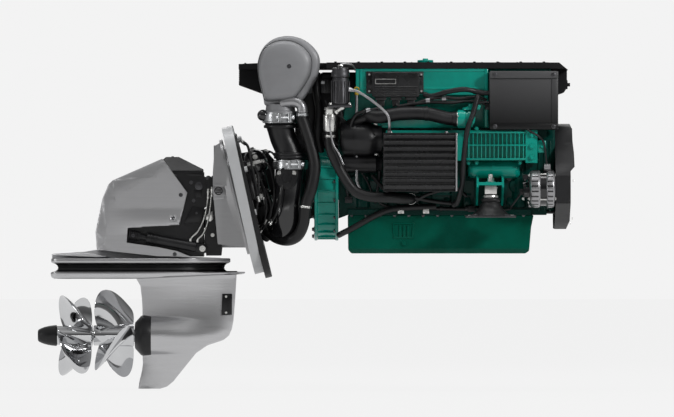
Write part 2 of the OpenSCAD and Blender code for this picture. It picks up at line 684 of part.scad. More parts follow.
// Exhaust riser and its hoses
riser_y = -170;
turbo_y = 212;
dome_at = [156, 494];
clamp_z = [262, 312];
module exhaust_elbow() color("#8d8f91") difference() {
    union() {
        rod_y(dome_r, riser_y - 62, riser_y + 60, dome_at[0], dome_at[1]);
        translate([dome_at[0], riser_y - 61, dome_at[1]]) rotate([90, 0, 0]) rotate_extrude()
            polygon([[0, 0], [dome_r, 0], [dome_r - 4, 6], [dome_r - 22, 13], [dome_r - 56, 18], [0, 20]]);
        side(riser_y - 50, riser_y + 50) polygon([[54, 440], [60, 330], [184, 330], [262, 430], [200, 500]]);
        rod_z(62, clamp_z[0] + 8, 400, 121, riser_y);
        hose([[150, riser_y - 40, 372], [190, riser_y - 52, 366], [208, riser_y - 54, 342],
            [208, riser_y - 54, 326], [208, riser_y - 54, 310]], 20, 14, 3);
        hose([[190, riser_y + 50, 430], [225, riser_y + 90, 424], [262, -10, 400], [280, 110, 372],
            [290, 194, 346], [304, turbo_y, 340], [317, turbo_y, 340], [329.9, turbo_y, 340]], 34, 16, 3);
    }
    rod_z(50, clamp_z[0], 420, 121, riser_y);
}

pipe_points = [[121, riser_y, clamp_z[0] + 8 - touch], [121, riser_y, 262], [121, riser_y, 252],
    [130, riser_y, 214], [156, riser_y, 150], [162, riser_y, 92]];
module exhaust_pipe() color("#4a4c4f") {
    hose(pipe_points, 62, 24, 3);
    rod_z(68, 126, 150, 158, riser_y);
    rod_z(66, 84, 120, 162, riser_y);
}

module exhaust_hose() color("#17181a") {
    hose([[162, riser_y, 83.9], [162, riser_y, 70], [162, riser_y, 30], [160, -160, -50], [156, -118, -112], [136, -60, -132],
        [100, -12, -120], [66, 0, exhaust_z], [54, 0, exhaust_z], [42, 0, exhaust_z]], 52, 20, 3);
}

cooling_routes = [
    [[208, riser_y - 54, 309.9], [208, riser_y - 54, 298], [208, riser_y - 54, 286], [220, -226, 250], [242, -228, 180], [259, -232, 100],
        [248, -238, 20], [222, -238, -60], [213, -222, -130], [190, -200, -178], [150, -172, -196], [104, -136, -186],
        [68, -98, -158], [54, -92, -150], [41, -92, -150]],
    [[318, -262, 231], [318, -262, 196], [326, -266, 150], [366, -270, 70], [412, -272, 4], [470, -270, -22],
        [560, -262, -28], [628, -226, -32], [640, -196, -32], [640, -182, -32],
        [640, -166, -32]],
    [[905, -290, 380], [886, -304, 310], [862, -308, 240], [847, -296, 120], [842, -284, 30], [826, -240, -40],
        [812, -196, -54], [812, -182, -54], [812, -168, -54]],
    [[691, -224, 384], [722, -240, 376], [782, -262, 392], [850, -268, 402], [906, -250, 392], [926, -242, 388],
        [938, -242, 388], [950.9, -242, 388]]];
cooling_radii = [23, 21, 11, 11];
module cooling_hoses() color("#232527") for (i = [0 : len(cooling_routes) - 1])
    hose(cooling_routes[i], cooling_radii[i], 12, 3);

module band(p, r, w) translate(p) difference() {
    cylinder(r = r + 3, h = w, center = true);
    cylinder(r = r + touch, h = w + 2, center = true);
}
module hose_clamps() color("#c2c4c6") {
    band([121, riser_y, clamp_z[0] + 8], 63, 26);
    band([208, riser_y - 54, 302], 23.3, 12);
}

// Engine
bell_x = [255, 352];
block_x = [352 + touch, 1180];
block_z = [-96, 250];
// Side pads that the engine brackets bolt to
pad_y = block_half + 16;
pump_shaft_r = 12;
sump_x = [389, 1118];
head_z = [250, 400];
rocker_z = 486;
cover_z = [rocker_z + touch, 510];
// Depth at which the service cover's open back meets the head
cover_back = 166;
belt_x = [1226, 1250];

module flywheel_housing() color(leg_green) difference() {
    union() {
        rod_x(bell_r, bell_x[0], bell_x[1]);
        rod_x(bell_r + 8, bell_x[0], bell_x[0] + 12);
        rod_x(bell_r + 8, bell_x[1] - 14, bell_x[1]);
        for (i = [0 : 17]) rotate([i * 20, 0, 0]) block([bell_x[0], bell_r - 4, -4], [bell_x[1], bell_r + 6, 4]);
    }
    rod_x(flywheel_r + 8, bell_x[0] + 14, bell_x[1] + 1);
    rod_x(journal_r + fit, bell_x[0] - 1, bell_x[1]);
}

module cylinder_block() color(leg_green) difference() {
    union() {
        side(-block_half, block_half) polygon([[block_x[0], -110], [block_x[0], block_z[1]], [block_x[1], block_z[1]],
            [block_x[1], block_z[0]], [sump_x[0], block_z[0]]]);
        both() block([sump_x[0], block_half - 2, block_z[0]], [sump_x[1], block_half + 26, block_z[0] + 22]);
        both() for (i = [0 : 5]) rod_z(34, block_z[0] + 30, block_z[1], 450 + i * 124, block_half - 20);
        both() block([block_x[0] + 8, block_half - 2, 40], [block_x[1] - 8, block_half + 10, 58]);
        both() block([892, block_half - 2, -60], [1012, pad_y - touch, 62]);
    }
    rod_x(journal_r + fit, block_x[0] - 1, block_x[1] + 1);
    rod_x(pump_shaft_r + fit, block_x[1] - 50, block_x[1] + 1, pump_at[0], pump_at[1]);
}

module oil_sump() color(leg_green) difference() {
    side(-168, 168) polygon([[sump_x[0], block_z[0] - touch], [sump_x[0] + 2, -sump_drop + 14],
        [sump_x[0] + 14, -sump_drop], [sump_x[1] - 22, -sump_drop], [sump_x[1] - 8, -sump_drop + 10],
        [sump_x[1], block_z[0] - 50], [sump_x[1] + 10, block_z[0] - touch]]);
    both() translate([0, 168, -sump_drop]) rotate([45, 0, 0]) cube([3000, 26, 26], center = true);
    side(-156, 156) polygon([[sump_x[0] + 12, block_z[0] + 1], [sump_x[0] + 12, -sump_drop + 12],
        [sump_x[1] - 30, -sump_drop + 12], [sump_x[1] - 12, block_z[0] + 1]]);
}

module cylinder_head() color(leg_green) union() {
    block([block_x[0] + 20, -120, head_z[0] + touch], [block_x[1] - 10, 130, head_z[1]]);
    side(-206, 120) polygon([[420, head_z[1]], [420, rocker_z], [936, rocker_z], [936, head_z[1]]]);
    block([936, -cover_back + touch, head_z[0] + touch], [1196, 130, rocker_z]);
    block([420, -206, 380], [936, -118, head_z[1] + 1]);
}

manifold_x = [861, 1094];
manifold_z = [130, 228];
manifold_y = -250;
module intake_manifold() color(leg_green) {
    difference() {
        union() {
            block([540, manifold_y + 20, 120], [1141, -block_half - 16 - touch, 240]);
            block([1094, manifold_y, 111], [1141, -block_half - 16 - touch, 240]);
            rod_x(34, 824, 884, -258, 285);
            rod_y(34, -262, -120 - touch, 860, 285);
        }
        rod_x(28, 820, 858, -258, 285);
    }
    for (i = [0 : manifold_ribs - 1]) {
        x = manifold_x[0] + (i + 0.5) * (manifold_x[1] - manifold_x[0]) / manifold_ribs;
        block([x - 2, manifold_y, manifold_z[0]], [x + 2, manifold_y + 21, manifold_z[1]]);
    }
    block([manifold_x[0], manifold_y - 2, 178], [manifold_x[1] + 2, manifold_y + 21, 184]);
}

module top_cover() color("#191a1c") difference() {
    union() {
        side(-212, 150) polygon([[304, cover_z[0]], [304, cover_z[1]], [1228, cover_z[1]],
            [1264, cover_z[0] - 6], [1250, cover_z[0]]]);
        side(riser_y + 66, 150) polygon([[-46, cover_z[0]], [-46, cover_z[1] - 4], [40, cover_z[1]],
            [306, cover_z[1]], [306, cover_z[0]]]);
        side(-40, 150) polygon([[-46, cover_z[0] + 1], [-46, 424], [52, 388], [118, 388], [118, cover_z[0] + 1]]);
        side(-120, 96) polygon([[1202, cover_z[0] + 1], [1256, cover_z[0] + 1], [1262, 478], [1262, 410],
            [1250, 392], [1226, 384], [1202, 384]]);
        rod_x(18, 1250, 1266, -60, 424);
        rod_x(7, 1260, 1276, -60, 424);
        for (i = [0 : 9]) rod_z(5, cover_z[1] - 1, cover_z[1] + 4, 340 + i * 92, -196);
    }
    for (i = [0 : 7]) block([-60, -60, 440 + i * 8], [-42, 200, 443 + i * 8]);
}

pump_at = [0, 168];
alt_at = [-236, 8];
module crankshaft() color("#777a7c") {
    rod_x(20, hinge_x + ball_r + 2, bell_x[0] + 2);
    translate([hinge_x, 0, 0]) rotate([0, 90, 0]) rotate_extrude() difference() {
        circle(r = cup_r);
        circle(r = ball_r + 0.6);
        translate([-60, -60]) square([60, 120]);
        translate([-60, -60]) square([120, 68]);
    }
    rod_x(journal_r, bell_x[0] + 1, belt_x[0] - 2);
    rod_x(flywheel_r, bell_x[0] + 24, bell_x[0] + 60);
    grooved_pulley(crank_pulley_r, 0, 0);
}

module grooved_pulley(r, y, z) {
    rod_x(r, belt_x[0], belt_x[1], y, z);
    rod_x(r + 5, belt_x[0] - 3, belt_x[0], y, z);
    rod_x(r + 5, belt_x[1], belt_x[1] + 3, y, z);
}

module loop(extra) hull() {
    circle(r = crank_pulley_r + extra, $fn = 96);
    translate(pump_at) circle(r = pump_pulley_r + extra, $fn = 96);
    translate(alt_at) circle(r = alt_pulley_r + extra, $fn = 96);
}
module drive_belt() color("#0d0d0e") front(belt_x[0] + 2, belt_x[1] - 2) difference() {
    loop(4.5);
    loop(seat);
}

module pump_pulley() color("#777a7c") {
    grooved_pulley(pump_pulley_r, pump_at[0], pump_at[1]);
    rod_x(pump_shaft_r, block_x[1] - 40, belt_x[0], pump_at[0], pump_at[1]);
}

guard_x = [1212, 1288];
guard_step = 1272;
guard_wall = 4;
module guard_outline(inset) offset(delta = -inset) polygon([[-286, 60], [-256, 104], [-136, 184], [-96, 252],
    [-60, 268], [80, 268], [110, 240], [120, 60], [110, -120], [80, -152], [-90, -152], [-150, -120], [-286, -50]]);
module belt_guard_shell() color("#2e3033") difference() {
    intersection() {
        front(guard_x[0], guard_x[1]) guard_outline(0);
        side(-400, 400) polygon([[guard_x[0], -150], [1224, -155], [1258, -155], [guard_step, -120], [guard_step, 78],
            [guard_x[1] + 1, 96], [guard_x[1] + 1, 140], [1284, 200], [1283, 246], [1274, 268], [guard_x[0], 270]]);
    }
    front(guard_x[0] - 1, guard_step - guard_wall) guard_outline(guard_wall);
}
// Posts that hold the guard off the front of the block
guard_posts = [[90, -60], [80, 200], [-130, -84]];
module belt_guard() {
    belt_guard_shell();
    color("#2e3033") for (p = guard_posts) rod_x(7, block_x[1] + touch, guard_step - guard_wall + 1, p[0], p[1]);
}

alt_x = [1092, 1208];
alt_r = 74;
module alternator() color("#a8aaab") difference() {
    union() {
        rod_x(alt_r - 8, alt_x[0], alt_x[1], alt_at[0], alt_at[1]);
        rod_x(alt_r, alt_x[0] + 12, alt_x[0] + 44, alt_at[0], alt_at[1]);
        rod_x(alt_r, alt_x[1] - 44, alt_x[1] - 4, alt_at[0], alt_at[1]);
        block([alt_x[1] - 40, alt_at[0], alt_at[1] + 52], [alt_x[1] - 16, -block_half - touch, alt_at[1] + 90]);
        block([alt_x[0] + 14, alt_at[0] + 40, -66], [alt_x[0] + 40, -block_half - touch, -40]);
    }
    rod_x(10 + fit, alt_x[0] + 30, alt_x[1] + 1, alt_at[0], alt_at[1]);
    rod_x(52, alt_x[0] + 30, alt_x[1] - 10, alt_at[0], alt_at[1]);
    for (i = [0 : 17]) translate([0, alt_at[0], alt_at[1]]) rotate([i * 20, 0, 0]) {
        block([alt_x[0] + 18, 56, -4], [alt_x[0] + 38, 80, 4]);
        block([alt_x[1] - 36, 56, -4], [alt_x[1] - 14, 80, 4]);
    }
}
module alternator_rotor() color("#77797b") {
    rod_x(10, alt_x[0] + 34, belt_x[0], alt_at[0], alt_at[1]);
    rod_x(50, alt_x[0] + 40, alt_x[1] - 20, alt_at[0], alt_at[1]);
    grooved_pulley(alt_pulley_r, alt_at[0], alt_at[1]);
}

unit_x = [462, 690];
module control_unit() color("#1c1d1f") difference() {
    union() {
        block([unit_x[0], -212, 386], [unit_x[1], -206 - touch, 474]);
        side(-240, -211) polygon([[490, 372], [482, 380], [482, 470], [676, 470], [676, 380], [668, 372]]);
        for (x = [474, 684], z = [396, 462]) rod_y(7, -216, -211, x, z);
    }
    block([500, -241, 426], [660, -237, 446]);
}

cooler_x = [526, 822];
cooler_z = [-3, 230];
module charge_cooler() color("#242629") {
    block([cooler_x[0], -306, cooler_z[0]], [cooler_x[1], manifold_y + 20 - touch, cooler_z[1]]);
    for (i = [0 : cooler_ribs - 1]) {
        pitch_z = (cooler_z[1] - cooler_z[0]) / cooler_ribs;
        z = cooler_z[0] + (i + 0.5) * pitch_z;
        side(-324, -305) offset(delta = -1) polygon([[cooler_x[0], z - pitch_z * 0.32], [cooler_x[1], z - pitch_z * 0.32],
            [cooler_x[1], z + pitch_z * 0.32], [cooler_x[0], z + pitch_z * 0.32]]);
    }
    block([cooler_x[1] - 6, -326, cooler_z[0]], [cooler_x[1], -300, cooler_z[1]]);
}

air_points = [[856, -258, 285], [822, -258, 285], [780, -261, 288], [700, -268, 306], [600, -268, 306],
    [520, -262, 294], [476, -236, 298], [464, -190, 300], [464, -121, 300]];
module air_pipe() color("#1f2123") hose(air_points, 27.2, 16, 3);

module fuel_filter() color("#9a9da0") {
    rod_z(34, 344, 470, 360, -268);
    rod_z(37, 452, 486, 360, -268);
    block([312, -300, 330], [404, -206, 342]);
    rod_z(20, 300, 331, 318, -262);
    rod_z(26, 232 + touch, 302, 318, -262);
    block([330, -238, 342], [366, -190, 480]);
    block([330, -240, 345], [392, -120 - touch, 395]);
}

module service_cover() color("#26282b") {
    difference() {
        side(-262, -cover_back) offset(r = 8) polygon([[959, 248], [1215, 248], [1215, 467], [959, 467]]);
        side(-256, -140) polygon([[960, 250], [1214, 250], [1214, 464], [960, 464]]);
    }
    block([953, -270, 446], [1221, -258, 474]);
    for (x = [970, 1204], z = [262, 460]) rod_y(9, -275, -258, x, z);
}

foot_x = 954;
arm_z = [22, 48];
foot_bolt_r = 10;
module mount_brackets() color(leg_green) both() difference() {
    union() {
        block([898, pad_y, arm_z[0]], [1006, foot_y + 34, arm_z[1] - 14]);
        for (x = [898, 998]) translate([x, 0, 0]) front(0, 8) polygon([[pad_y, -60],
            [foot_y + 34, arm_z[0] - 8], [foot_y + 34, arm_z[1]], [pad_y, arm_z[1] + 14]]);
    }
    rod_z(foot_bolt_r + touch, -20, 80, foot_x, foot_y);
}

foot_span = [200, 96];
foot_holes = [160, 56];
module mount_cushions() color("#2a2a2b") both() difference() {
    union() {
        rod_z(foot_bolt_r, -30, 66, foot_x, foot_y);
        rod_z(16, 34 + touch, 46, foot_x, foot_y);
        block([foot_x - 25, foot_y - 25, -14], [foot_x + 25, foot_y + 25, arm_z[0] - touch]);
        translate([foot_x, foot_y, 0]) rotate_extrude() polygon([[0, -96], [58, -96], [46, -72], [34, -58],
            [38, -44], [38, -32], [30, -26], [0, -13]]);
        translate([foot_x, foot_y, -foot_drop]) linear_extrude(11) pad(foot_span[0], foot_span[1], 12);
    }
    for (i = [-1, 1], k = [-1, 1]) rod_z(bolt_hole_r, -foot_drop - 1, -foot_drop + 30,
        foot_x + i * foot_holes[0] / 2, foot_y + k * foot_holes[1] / 2);
}

stick_r = 4;
// The dipstick stands in a tube; two thin metal pipes run from the filter
stick_at = [424, -216];
module dipstick_tube() color("#55585a") {
    difference() {
        rod_z(stick_r + 2.5, 60, 380, stick_at[0], stick_at[1]);
        rod_z(stick_r + fit, 66, 381, stick_at[0], stick_at[1]);
    }
    hose([[424, -216, 62], [426, -214, 36], [440, -block_half - 50, 6], [450, -block_half - 34, -6],
        [452, -block_half - 26, -8], [452, -block_half - 17, -8]], stick_r + 2.5, 8, 3);
    hose([[395, -290, 400], [430, -296, 392], [500, -308, 345], [546, -312, 300], [553, -309, 262],
        [553, -291, 238], [553, -289, 231]], 6, 8, 3);
    hose([[318, -292.6, 292], [318, -292.8, 250], [332, -293, 185], [352, -297, 150], [372, -301, 104]], 4, 8, 3);
}
module dipstick() color("#b8a024") translate([stick_at[0], stick_at[1], 0]) {
    rod_z(stick_r - 1, 90, 386);
    rod_z(stick_r, 90, 96);
    rod_z(stick_r + 4, 380 + seat, 392);
    translate([0, 0, 402]) rotate([90, 0, 0]) rotate_extrude() translate([9, 0]) circle(r = 3);
}

module exhaust_manifold() color("#5b5e60") {
    block([470, 150, 290], [1120, 226, 372]);
    for (i = [0 : 5]) rod_y(26, 130 + touch, 152, 510 + i * 112, 330);
    rod_x(52, 330, 472, turbo_y, 340);
    rod_x(74, 380, 440, turbo_y, 340);
}

module heat_exchanger() color("#24413a") {
    rod_x(66, 640, 1080, 240, 196);
    rod_x(74, 628, 646, 240, 196);
    rod_x(74, 1072, 1090, 240, 196);
    for (x = [700, 1000]) block([x, pad_y, 176], [x + 40, 190, 216]);
}

module starter_motor() color("#3b3d40") {
    rod_x(46, bell_x[1] + touch, 540, 236, 20);
    rod_x(26, bell_x[1] + 20, 500, 236, 88);
    block([bell_x[1] + touch, block_half + 12, -10], [bell_x[1] + 24, 250, 50]);
}

// Hydraulic pump for the trim rams, inside the ring's opening
pump_y = -96;
module trim_pump() color("#161718") raked() {
    rod_z(32, -70, 90, 46, pump_y);
    rod_z(46, 84, 112, 50, pump_y);
    translate([50, pump_y, 112]) sphere(r = 46);
    block([wall_front + touch, pump_y - 34, -40], [30, pump_y + 34, 120]);
}

upper_gear_housing();
cover_starboard();
cover_port();
cover_top();
drive_fasteners();
intermediate_housing();
lower_gearcase();
shaft_collar();
inlet_grilles();
front_propeller();
outer_prop_shaft();
rear_propeller();
nose_cone();
inner_prop_shaft();
vertical_shaft();
input_shaft();
steering_yoke();
tilt_pins();
trim_hoses();
bellows_aft();
trim_barrel_starboard();
trim_barrel_port();
trim_rod_starboard();
trim_rod_port();
transom_shield();
clamp_ring();
transom_seal();
swivel_pins();
pin_plugs();
bellows_fore();
trim_pump();
exhaust_elbow();
exhaust_pipe();
exhaust_hose();
cooling_hoses();
hose_clamps();
flywheel_housing();
cylinder_block();
oil_sump();
cylinder_head();
intake_manifold();
top_cover();
crankshaft();
belt_guard();
drive_belt();
pump_pulley();
alternator();
alternator_rotor();
control_unit();
charge_cooler();
air_pipe();
fuel_filter();
service_cover();
mount_brackets();
mount_cushions();
dipstick_tube();
dipstick();
exhaust_manifold();
heat_exchanger();
starter_motor();
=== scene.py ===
"""Looks of a stern drive and its diesel engine, built round the packed frame."""

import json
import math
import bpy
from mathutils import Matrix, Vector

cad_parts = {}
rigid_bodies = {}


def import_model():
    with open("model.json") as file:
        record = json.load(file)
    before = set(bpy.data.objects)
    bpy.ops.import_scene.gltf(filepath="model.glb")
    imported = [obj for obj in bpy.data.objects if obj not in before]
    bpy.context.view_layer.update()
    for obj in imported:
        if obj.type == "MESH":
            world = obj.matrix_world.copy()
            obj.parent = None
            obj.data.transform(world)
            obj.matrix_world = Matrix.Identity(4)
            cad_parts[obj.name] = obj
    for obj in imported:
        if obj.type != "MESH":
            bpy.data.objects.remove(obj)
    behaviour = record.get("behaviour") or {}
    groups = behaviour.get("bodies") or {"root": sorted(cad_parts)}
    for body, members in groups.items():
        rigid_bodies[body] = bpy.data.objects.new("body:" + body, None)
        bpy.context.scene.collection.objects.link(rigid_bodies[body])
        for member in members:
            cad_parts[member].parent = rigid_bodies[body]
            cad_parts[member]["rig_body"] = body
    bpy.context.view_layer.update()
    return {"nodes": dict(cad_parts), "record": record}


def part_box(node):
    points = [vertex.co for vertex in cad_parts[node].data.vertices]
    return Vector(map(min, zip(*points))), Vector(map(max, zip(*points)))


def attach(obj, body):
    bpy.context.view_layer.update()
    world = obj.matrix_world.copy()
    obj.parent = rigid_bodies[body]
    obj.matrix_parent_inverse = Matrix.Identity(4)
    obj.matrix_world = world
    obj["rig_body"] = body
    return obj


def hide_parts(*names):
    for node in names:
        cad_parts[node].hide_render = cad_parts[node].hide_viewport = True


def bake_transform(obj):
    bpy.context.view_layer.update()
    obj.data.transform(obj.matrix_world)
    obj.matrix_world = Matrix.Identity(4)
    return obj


bl_info = {
    "name": "Stern Drive and Engine",
    "version": (1, 0, 0),
    "blender": (4, 5, 0),
    "location": "View3D > Sidebar > Stern Drive",
    "description": "Finishes and detailed pieces of a stern drive with its diesel engine",
    "category": "Object",
}

import bmesh
import bpy
from bpy.props import FloatProperty, FloatVectorProperty, IntProperty, PointerProperty
from mathutils import Matrix, Vector
from mathutils.geometry import intersect_point_line

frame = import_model()
BODY_OF = {n: b for b, ns in frame["record"]["behaviour"]["bodies"].items() for n in ns}
ENGINE, YOKE, LEG = "engine_and_shield", "yoke", "leg"
PROP_Z = -578.0
HINGE_X = -125.0
RAKE = math.radians(14)
SIDES = ((-1, "starboard"), (1, "port"))
AXES = {"x": (1, 0, 0), "y": (0, 1, 0), "z": (0, 0, 1)}


# Finishes

def grey(shade):
    """An opaque grey."""
    return (shade, shade, shade, 1)


class Signal:
    """A socket that takes part in sums as a number does."""

    def __init__(self, nodes, socket):
        self.nodes, self.socket = nodes, socket

    def _math(self, operation, other):
        return self.nodes.node("ShaderNodeMath", {"operation": operation}, {0: self, 1: other})

    def __add__(self, other):
        return self._math("ADD", other)

    def __mul__(self, other):
        return self._math("MULTIPLY", other)

    __radd__, __rmul__ = __add__, __mul__


class Nodes:
    """The nodes of one tree."""

    def __init__(self, tree):
        self.tree = tree

    def feed(self, target, value):
        """Sets a socket, or links a signal to it."""
        if isinstance(value, Signal):
            self.tree.links.new(value.socket, target)
        else:
            target.default_value = value

    def node(self, kind, settings=None, values=None, out=0):
        """A new node with its settings and inputs, as the signal of one of its outputs."""
        made = self.tree.nodes.new(kind)
        for key, value in (settings or {}).items():
            if key == "stops":
                stops = made.color_ramp.elements
                while len(stops) < len(value):
                    stops.new(0.5)
                for stop, (position, shade) in zip(stops, value):
                    stop.position, stop.color = position, grey(shade)
            else:
                setattr(made, key, value)
        for key, value in (values or {}).items():
            self.feed(made.inputs[key], value)
        return Signal(self, made.outputs[out])


class Finish(Nodes):
    """A material made of nodes on one Principled shader."""

    def __init__(self, name, color, roughness, metallic=0.0, **steady):
        self.material = bpy.data.materials.new(name)
        self.material.use_nodes = True
        super().__init__(self.material.node_tree)
        self.color = tuple(color)
        self.put("Base Color", (*color, 1.0))
        self.put("Roughness", roughness)
        self.put("Metallic", metallic)
        for socket, value in steady.items():
            self.put(socket.replace("_", " "), value)
        self.place = self.node("ShaderNodeTexCoord", out="Object")

    def put(self, socket, value):
        """Sets a socket of the shader, or links a signal to it."""
        self.feed(self.tree.nodes["Principled BSDF"].inputs[socket], value)

    def noise(self, scale, detail=4.0, stretch=None):
        """Cloudy noise, drawn out along the axes where stretch says so."""
        where = self.place
        if stretch:
            where = self.node("ShaderNodeMapping", {}, {"Vector": self.place, "Scale": stretch})
        return self.node("ShaderNodeTexNoise", {}, {
            "Vector": where, "Scale": scale, "Detail": detail, "Roughness": 0.55})

    def shade(self, mask, low, high):
        """The mask, led from one value to another."""
        return self.node("ShaderNodeMapRange", {}, {0: mask, 1: 0.3, 2: 0.7, 3: low, 4: high})

    def tint(self, mask, other):
        """Turns the base colour to another one where the mask is 1."""
        self.put("Base Color", self.node("ShaderNodeMix", {"data_type": "RGBA"}, {
            0: mask, 6: (*self.color, 1.0), 7: (*other, 1.0)}, out=2))

    def bump(self, height, strength, distance, below=None):
        """Fine relief, on top of another one where given."""
        values = {"Height": height, "Strength": strength, "Distance": distance}
        if below:
            values["Normal"] = below
        relief = self.node("ShaderNodeBump", {}, values)
        self.put("Normal", relief)
        return relief


def shaded(color, share):
    """A colour made darker."""
    return tuple(c * share for c in color)


def painted_metal(name, color, roughness, metallic, streak, grain):
    """Silver paint: long faint streaks, fine flake and a little handling dirt."""
    f = Finish(name, color, roughness, metallic, Coat_Weight=0.15, Coat_Roughness=0.25)
    streaks = f.noise(9.0, 5.0, streak)
    cloud = f.noise(5.0, 3.0)
    flake = f.noise(2200.0, 1.0)
    f.tint(f.shade(streaks * 0.6 + cloud * 0.4, 0.0, 0.35), shaded(color, 0.78))
    f.put("Roughness", f.shade(streaks * 0.5 + flake * 0.5, roughness - 0.05, roughness + 0.07))
    fine = f.bump(flake, grain, 0.0002)
    f.bump(streaks, grain * 0.5, 0.0004, fine)
    return f


def bare_metal(name, color, roughness, scratches=0.06):
    """Turned or polished metal with hairline scratches."""
    f = Finish(name, color, roughness, 1.0)
    lines = f.noise(60.0, 6.0, (1.0, 9.0, 9.0))
    smear = f.noise(14.0, 3.0)
    f.put("Roughness", f.shade(lines * 0.4 + smear * 0.6, roughness * 0.7, roughness * 1.5 + 0.015))
    f.tint(f.shade(smear, 0.0, 0.3), shaded(color, 0.8))
    f.bump(lines, scratches, 0.0002)
    return f


def moulded(name, color, roughness, grain_scale, grain, coat=0.0, dust=(0.02, 0.02, 0.022), shine=0.35):
    """Moulded or powder-coated black: grain, slight wear and dust in the cloud pattern."""
    f = Finish(name, color, roughness, 0.0, Coat_Weight=coat, Coat_Roughness=0.15, Specular_IOR_Level=shine)
    pebbles = f.node("ShaderNodeTexVoronoi", {}, {"Vector": f.place, "Scale": grain_scale})
    cloud = f.noise(16.0, 5.0)
    f.tint(f.shade(cloud, 0.0, 0.55), dust)
    f.put("Roughness", f.shade(cloud, roughness - 0.06, roughness + 0.08))
    f.bump(pebbles, grain, 0.0003)
    return f


def enamel(name, color, roughness, deep, shine=0.3):
    """Glossy enamel on rough castings."""
    f = Finish(name, color, roughness, 0.0, Coat_Weight=shine * 0.8, Coat_Roughness=0.1, Specular_IOR_Level=shine)
    cast = f.noise(140.0, 3.0)
    cloud = f.noise(7.0, 4.0)
    f.tint(f.shade(cloud, 0.0, 0.8), deep)
    f.put("Roughness", f.shade(cast * 0.5 + cloud * 0.5, roughness - 0.05, roughness + 0.1))
    f.bump(cast, 0.12, 0.0006)
    return f


def faded(name, low_color, high_color, low, high):
    """Powder coat that turns paler with height."""
    f = Finish(name, low_color, 0.42, 0.0, Specular_IOR_Level=0.3)
    height = f.node("ShaderNodeSeparateXYZ", {}, {0: f.place}, out=2)
    f.tint(f.node("ShaderNodeMapRange", {}, {0: height, 1: low, 2: high, 3: 0.0, 4: 1.0}), high_color)
    pebbles = f.node("ShaderNodeTexVoronoi", {}, {"Vector": f.place, "Scale": 700.0})
    f.bump(pebbles, 0.15, 0.0003)
    return f


def make_finishes(looks):
    """Every finish by its name."""
    cast, green = tuple(looks.cast_silver), tuple(looks.engine_green)
    recipes = (
        (painted_metal, "cover_silver", tuple(looks.cover_silver), 0.4, 0.8, (0.4, 1.0, 14.0), 0.05),
        (painted_metal, "cast_silver", cast, 0.3, 0.85, (0.5, 1.0, 16.0), 0.05),
        (painted_metal, "ring_silver", (0.62, 0.63, 0.64), 0.5, 0.3, (3.0, 3.0, 3.0), 0.1),
        # The shield's silver is the cast silver made darker: painted shade
        (painted_metal, "hood_silver", shaded(cast, 0.66), 0.36, 0.8, (1.0, 1.0, 9.0), 0.05),
        (painted_metal, "riser_grey", (0.3, 0.303, 0.315), 0.52, 0.25, (2.0, 2.0, 5.0), 0.16),
        (painted_metal, "alloy", (0.36, 0.36, 0.37), 0.36, 0.85, (4.0, 4.0, 4.0), 0.2),
        (bare_metal, "polished_steel", (0.6, 0.605, 0.615), 0.06, 0.02),
        (bare_metal, "shaft_steel", (0.48, 0.49, 0.5), 0.3),
        (bare_metal, "bright_zinc", (0.66, 0.66, 0.64), 0.28),
        (bare_metal, "dark_steel", (0.09, 0.09, 0.095), 0.4),
        (moulded, "satin_black", tuple(looks.satin_black), 0.36, 900.0, 0.12),
        (moulded, "moulded_black", (0.008, 0.008, 0.009), 0.42, 650.0, 0.2),
        (moulded, "matte_black", (0.013, 0.013, 0.014), 0.72, 650.0, 0.2, 0.0, (0.024, 0.024, 0.025), 0.12),
        (moulded, "gloss_black", (0.004, 0.004, 0.005), 0.12, 300.0, 0.02, 0.6),
        (moulded, "cooler_black", (0.016, 0.016, 0.017), 0.26, 900.0, 0.05, 0.0, (0.04, 0.04, 0.042)),
        (moulded, "rubber", (0.006, 0.006, 0.007), 0.45, 1400.0, 0.12, 0.0, (0.016, 0.016, 0.016)),
        (moulded, "yellow", (0.62, 0.43, 0.03), 0.4, 500.0, 0.05, 0.2, (0.4, 0.28, 0.03)),
        (enamel, "engine_green", green, 0.3, shaded(green, 0.6)),
        # The block's green is the engine green made much darker: painted shade
        (enamel, "deep_green", shaded(green, 0.14), 0.3, shaded(green, 0.06), 0.12),
        # The sump's green is the engine green made darker still: painted shade
        (enamel, "sump_green", (0.0, green[1] * 0.33, green[2] * 0.28), 0.3,
         (0.0, green[1] * 0.18, green[2] * 0.14), 0.06),
        # Service cover black, with painted light that makes it paler towards its top edge
        (faded, "panel_black", (0.003, 0.003, 0.0035), (0.085, 0.085, 0.088), 0.27, 0.45),
    )
    return {name: make(name, *rest) for make, name, *rest in recipes}


FINISHES = {}
# The finish of each CAD node
NODE_FINISH = {node: finish for finish, nodes in {
    "satin_black": "upper_gear_housing cover_top steering_yoke starter_motor trim_barrel_starboard "
                   "trim_barrel_port trim_rod_starboard trim_rod_port",
    "dark_steel": "drive_fasteners crankshaft",
    "moulded_black": "inlet_grilles pin_plugs belt_guard control_unit service_cover air_pipe shaft_collar "
                     "nose_cone",
    "shaft_steel": "outer_prop_shaft inner_prop_shaft vertical_shaft input_shaft tilt_pins swivel_pins "
                   "pump_pulley alternator_rotor",
    "engine_green": "flywheel_housing cylinder_head intake_manifold mount_brackets heat_exchanger",
    # The block and the sump carry darker copies of the engine green: painted shade
    "deep_green": "cylinder_block",
    "sump_green": "oil_sump",
    "matte_black": "top_cover",
    "rubber": "drive_belt transom_seal exhaust_pipe exhaust_hose cooling_hoses mount_cushions "
              "bellows_aft bellows_fore",
    "alloy": "alternator dipstick_tube fuel_filter",
    "cooler_black": "charge_cooler",
    "hood_silver": "transom_shield",
    "ring_silver": "clamp_ring",
    "gloss_black": "trim_pump",
    "riser_grey": "exhaust_manifold exhaust_elbow",
    "yellow": "dipstick",
    "bright_zinc": "hose_clamps trim_hoses",
    "cover_silver": "cover_starboard cover_port",
    "cast_silver": "lower_gearcase intermediate_housing",
    "polished_steel": "front_propeller rear_propeller",
}.items() for node in nodes.split()}


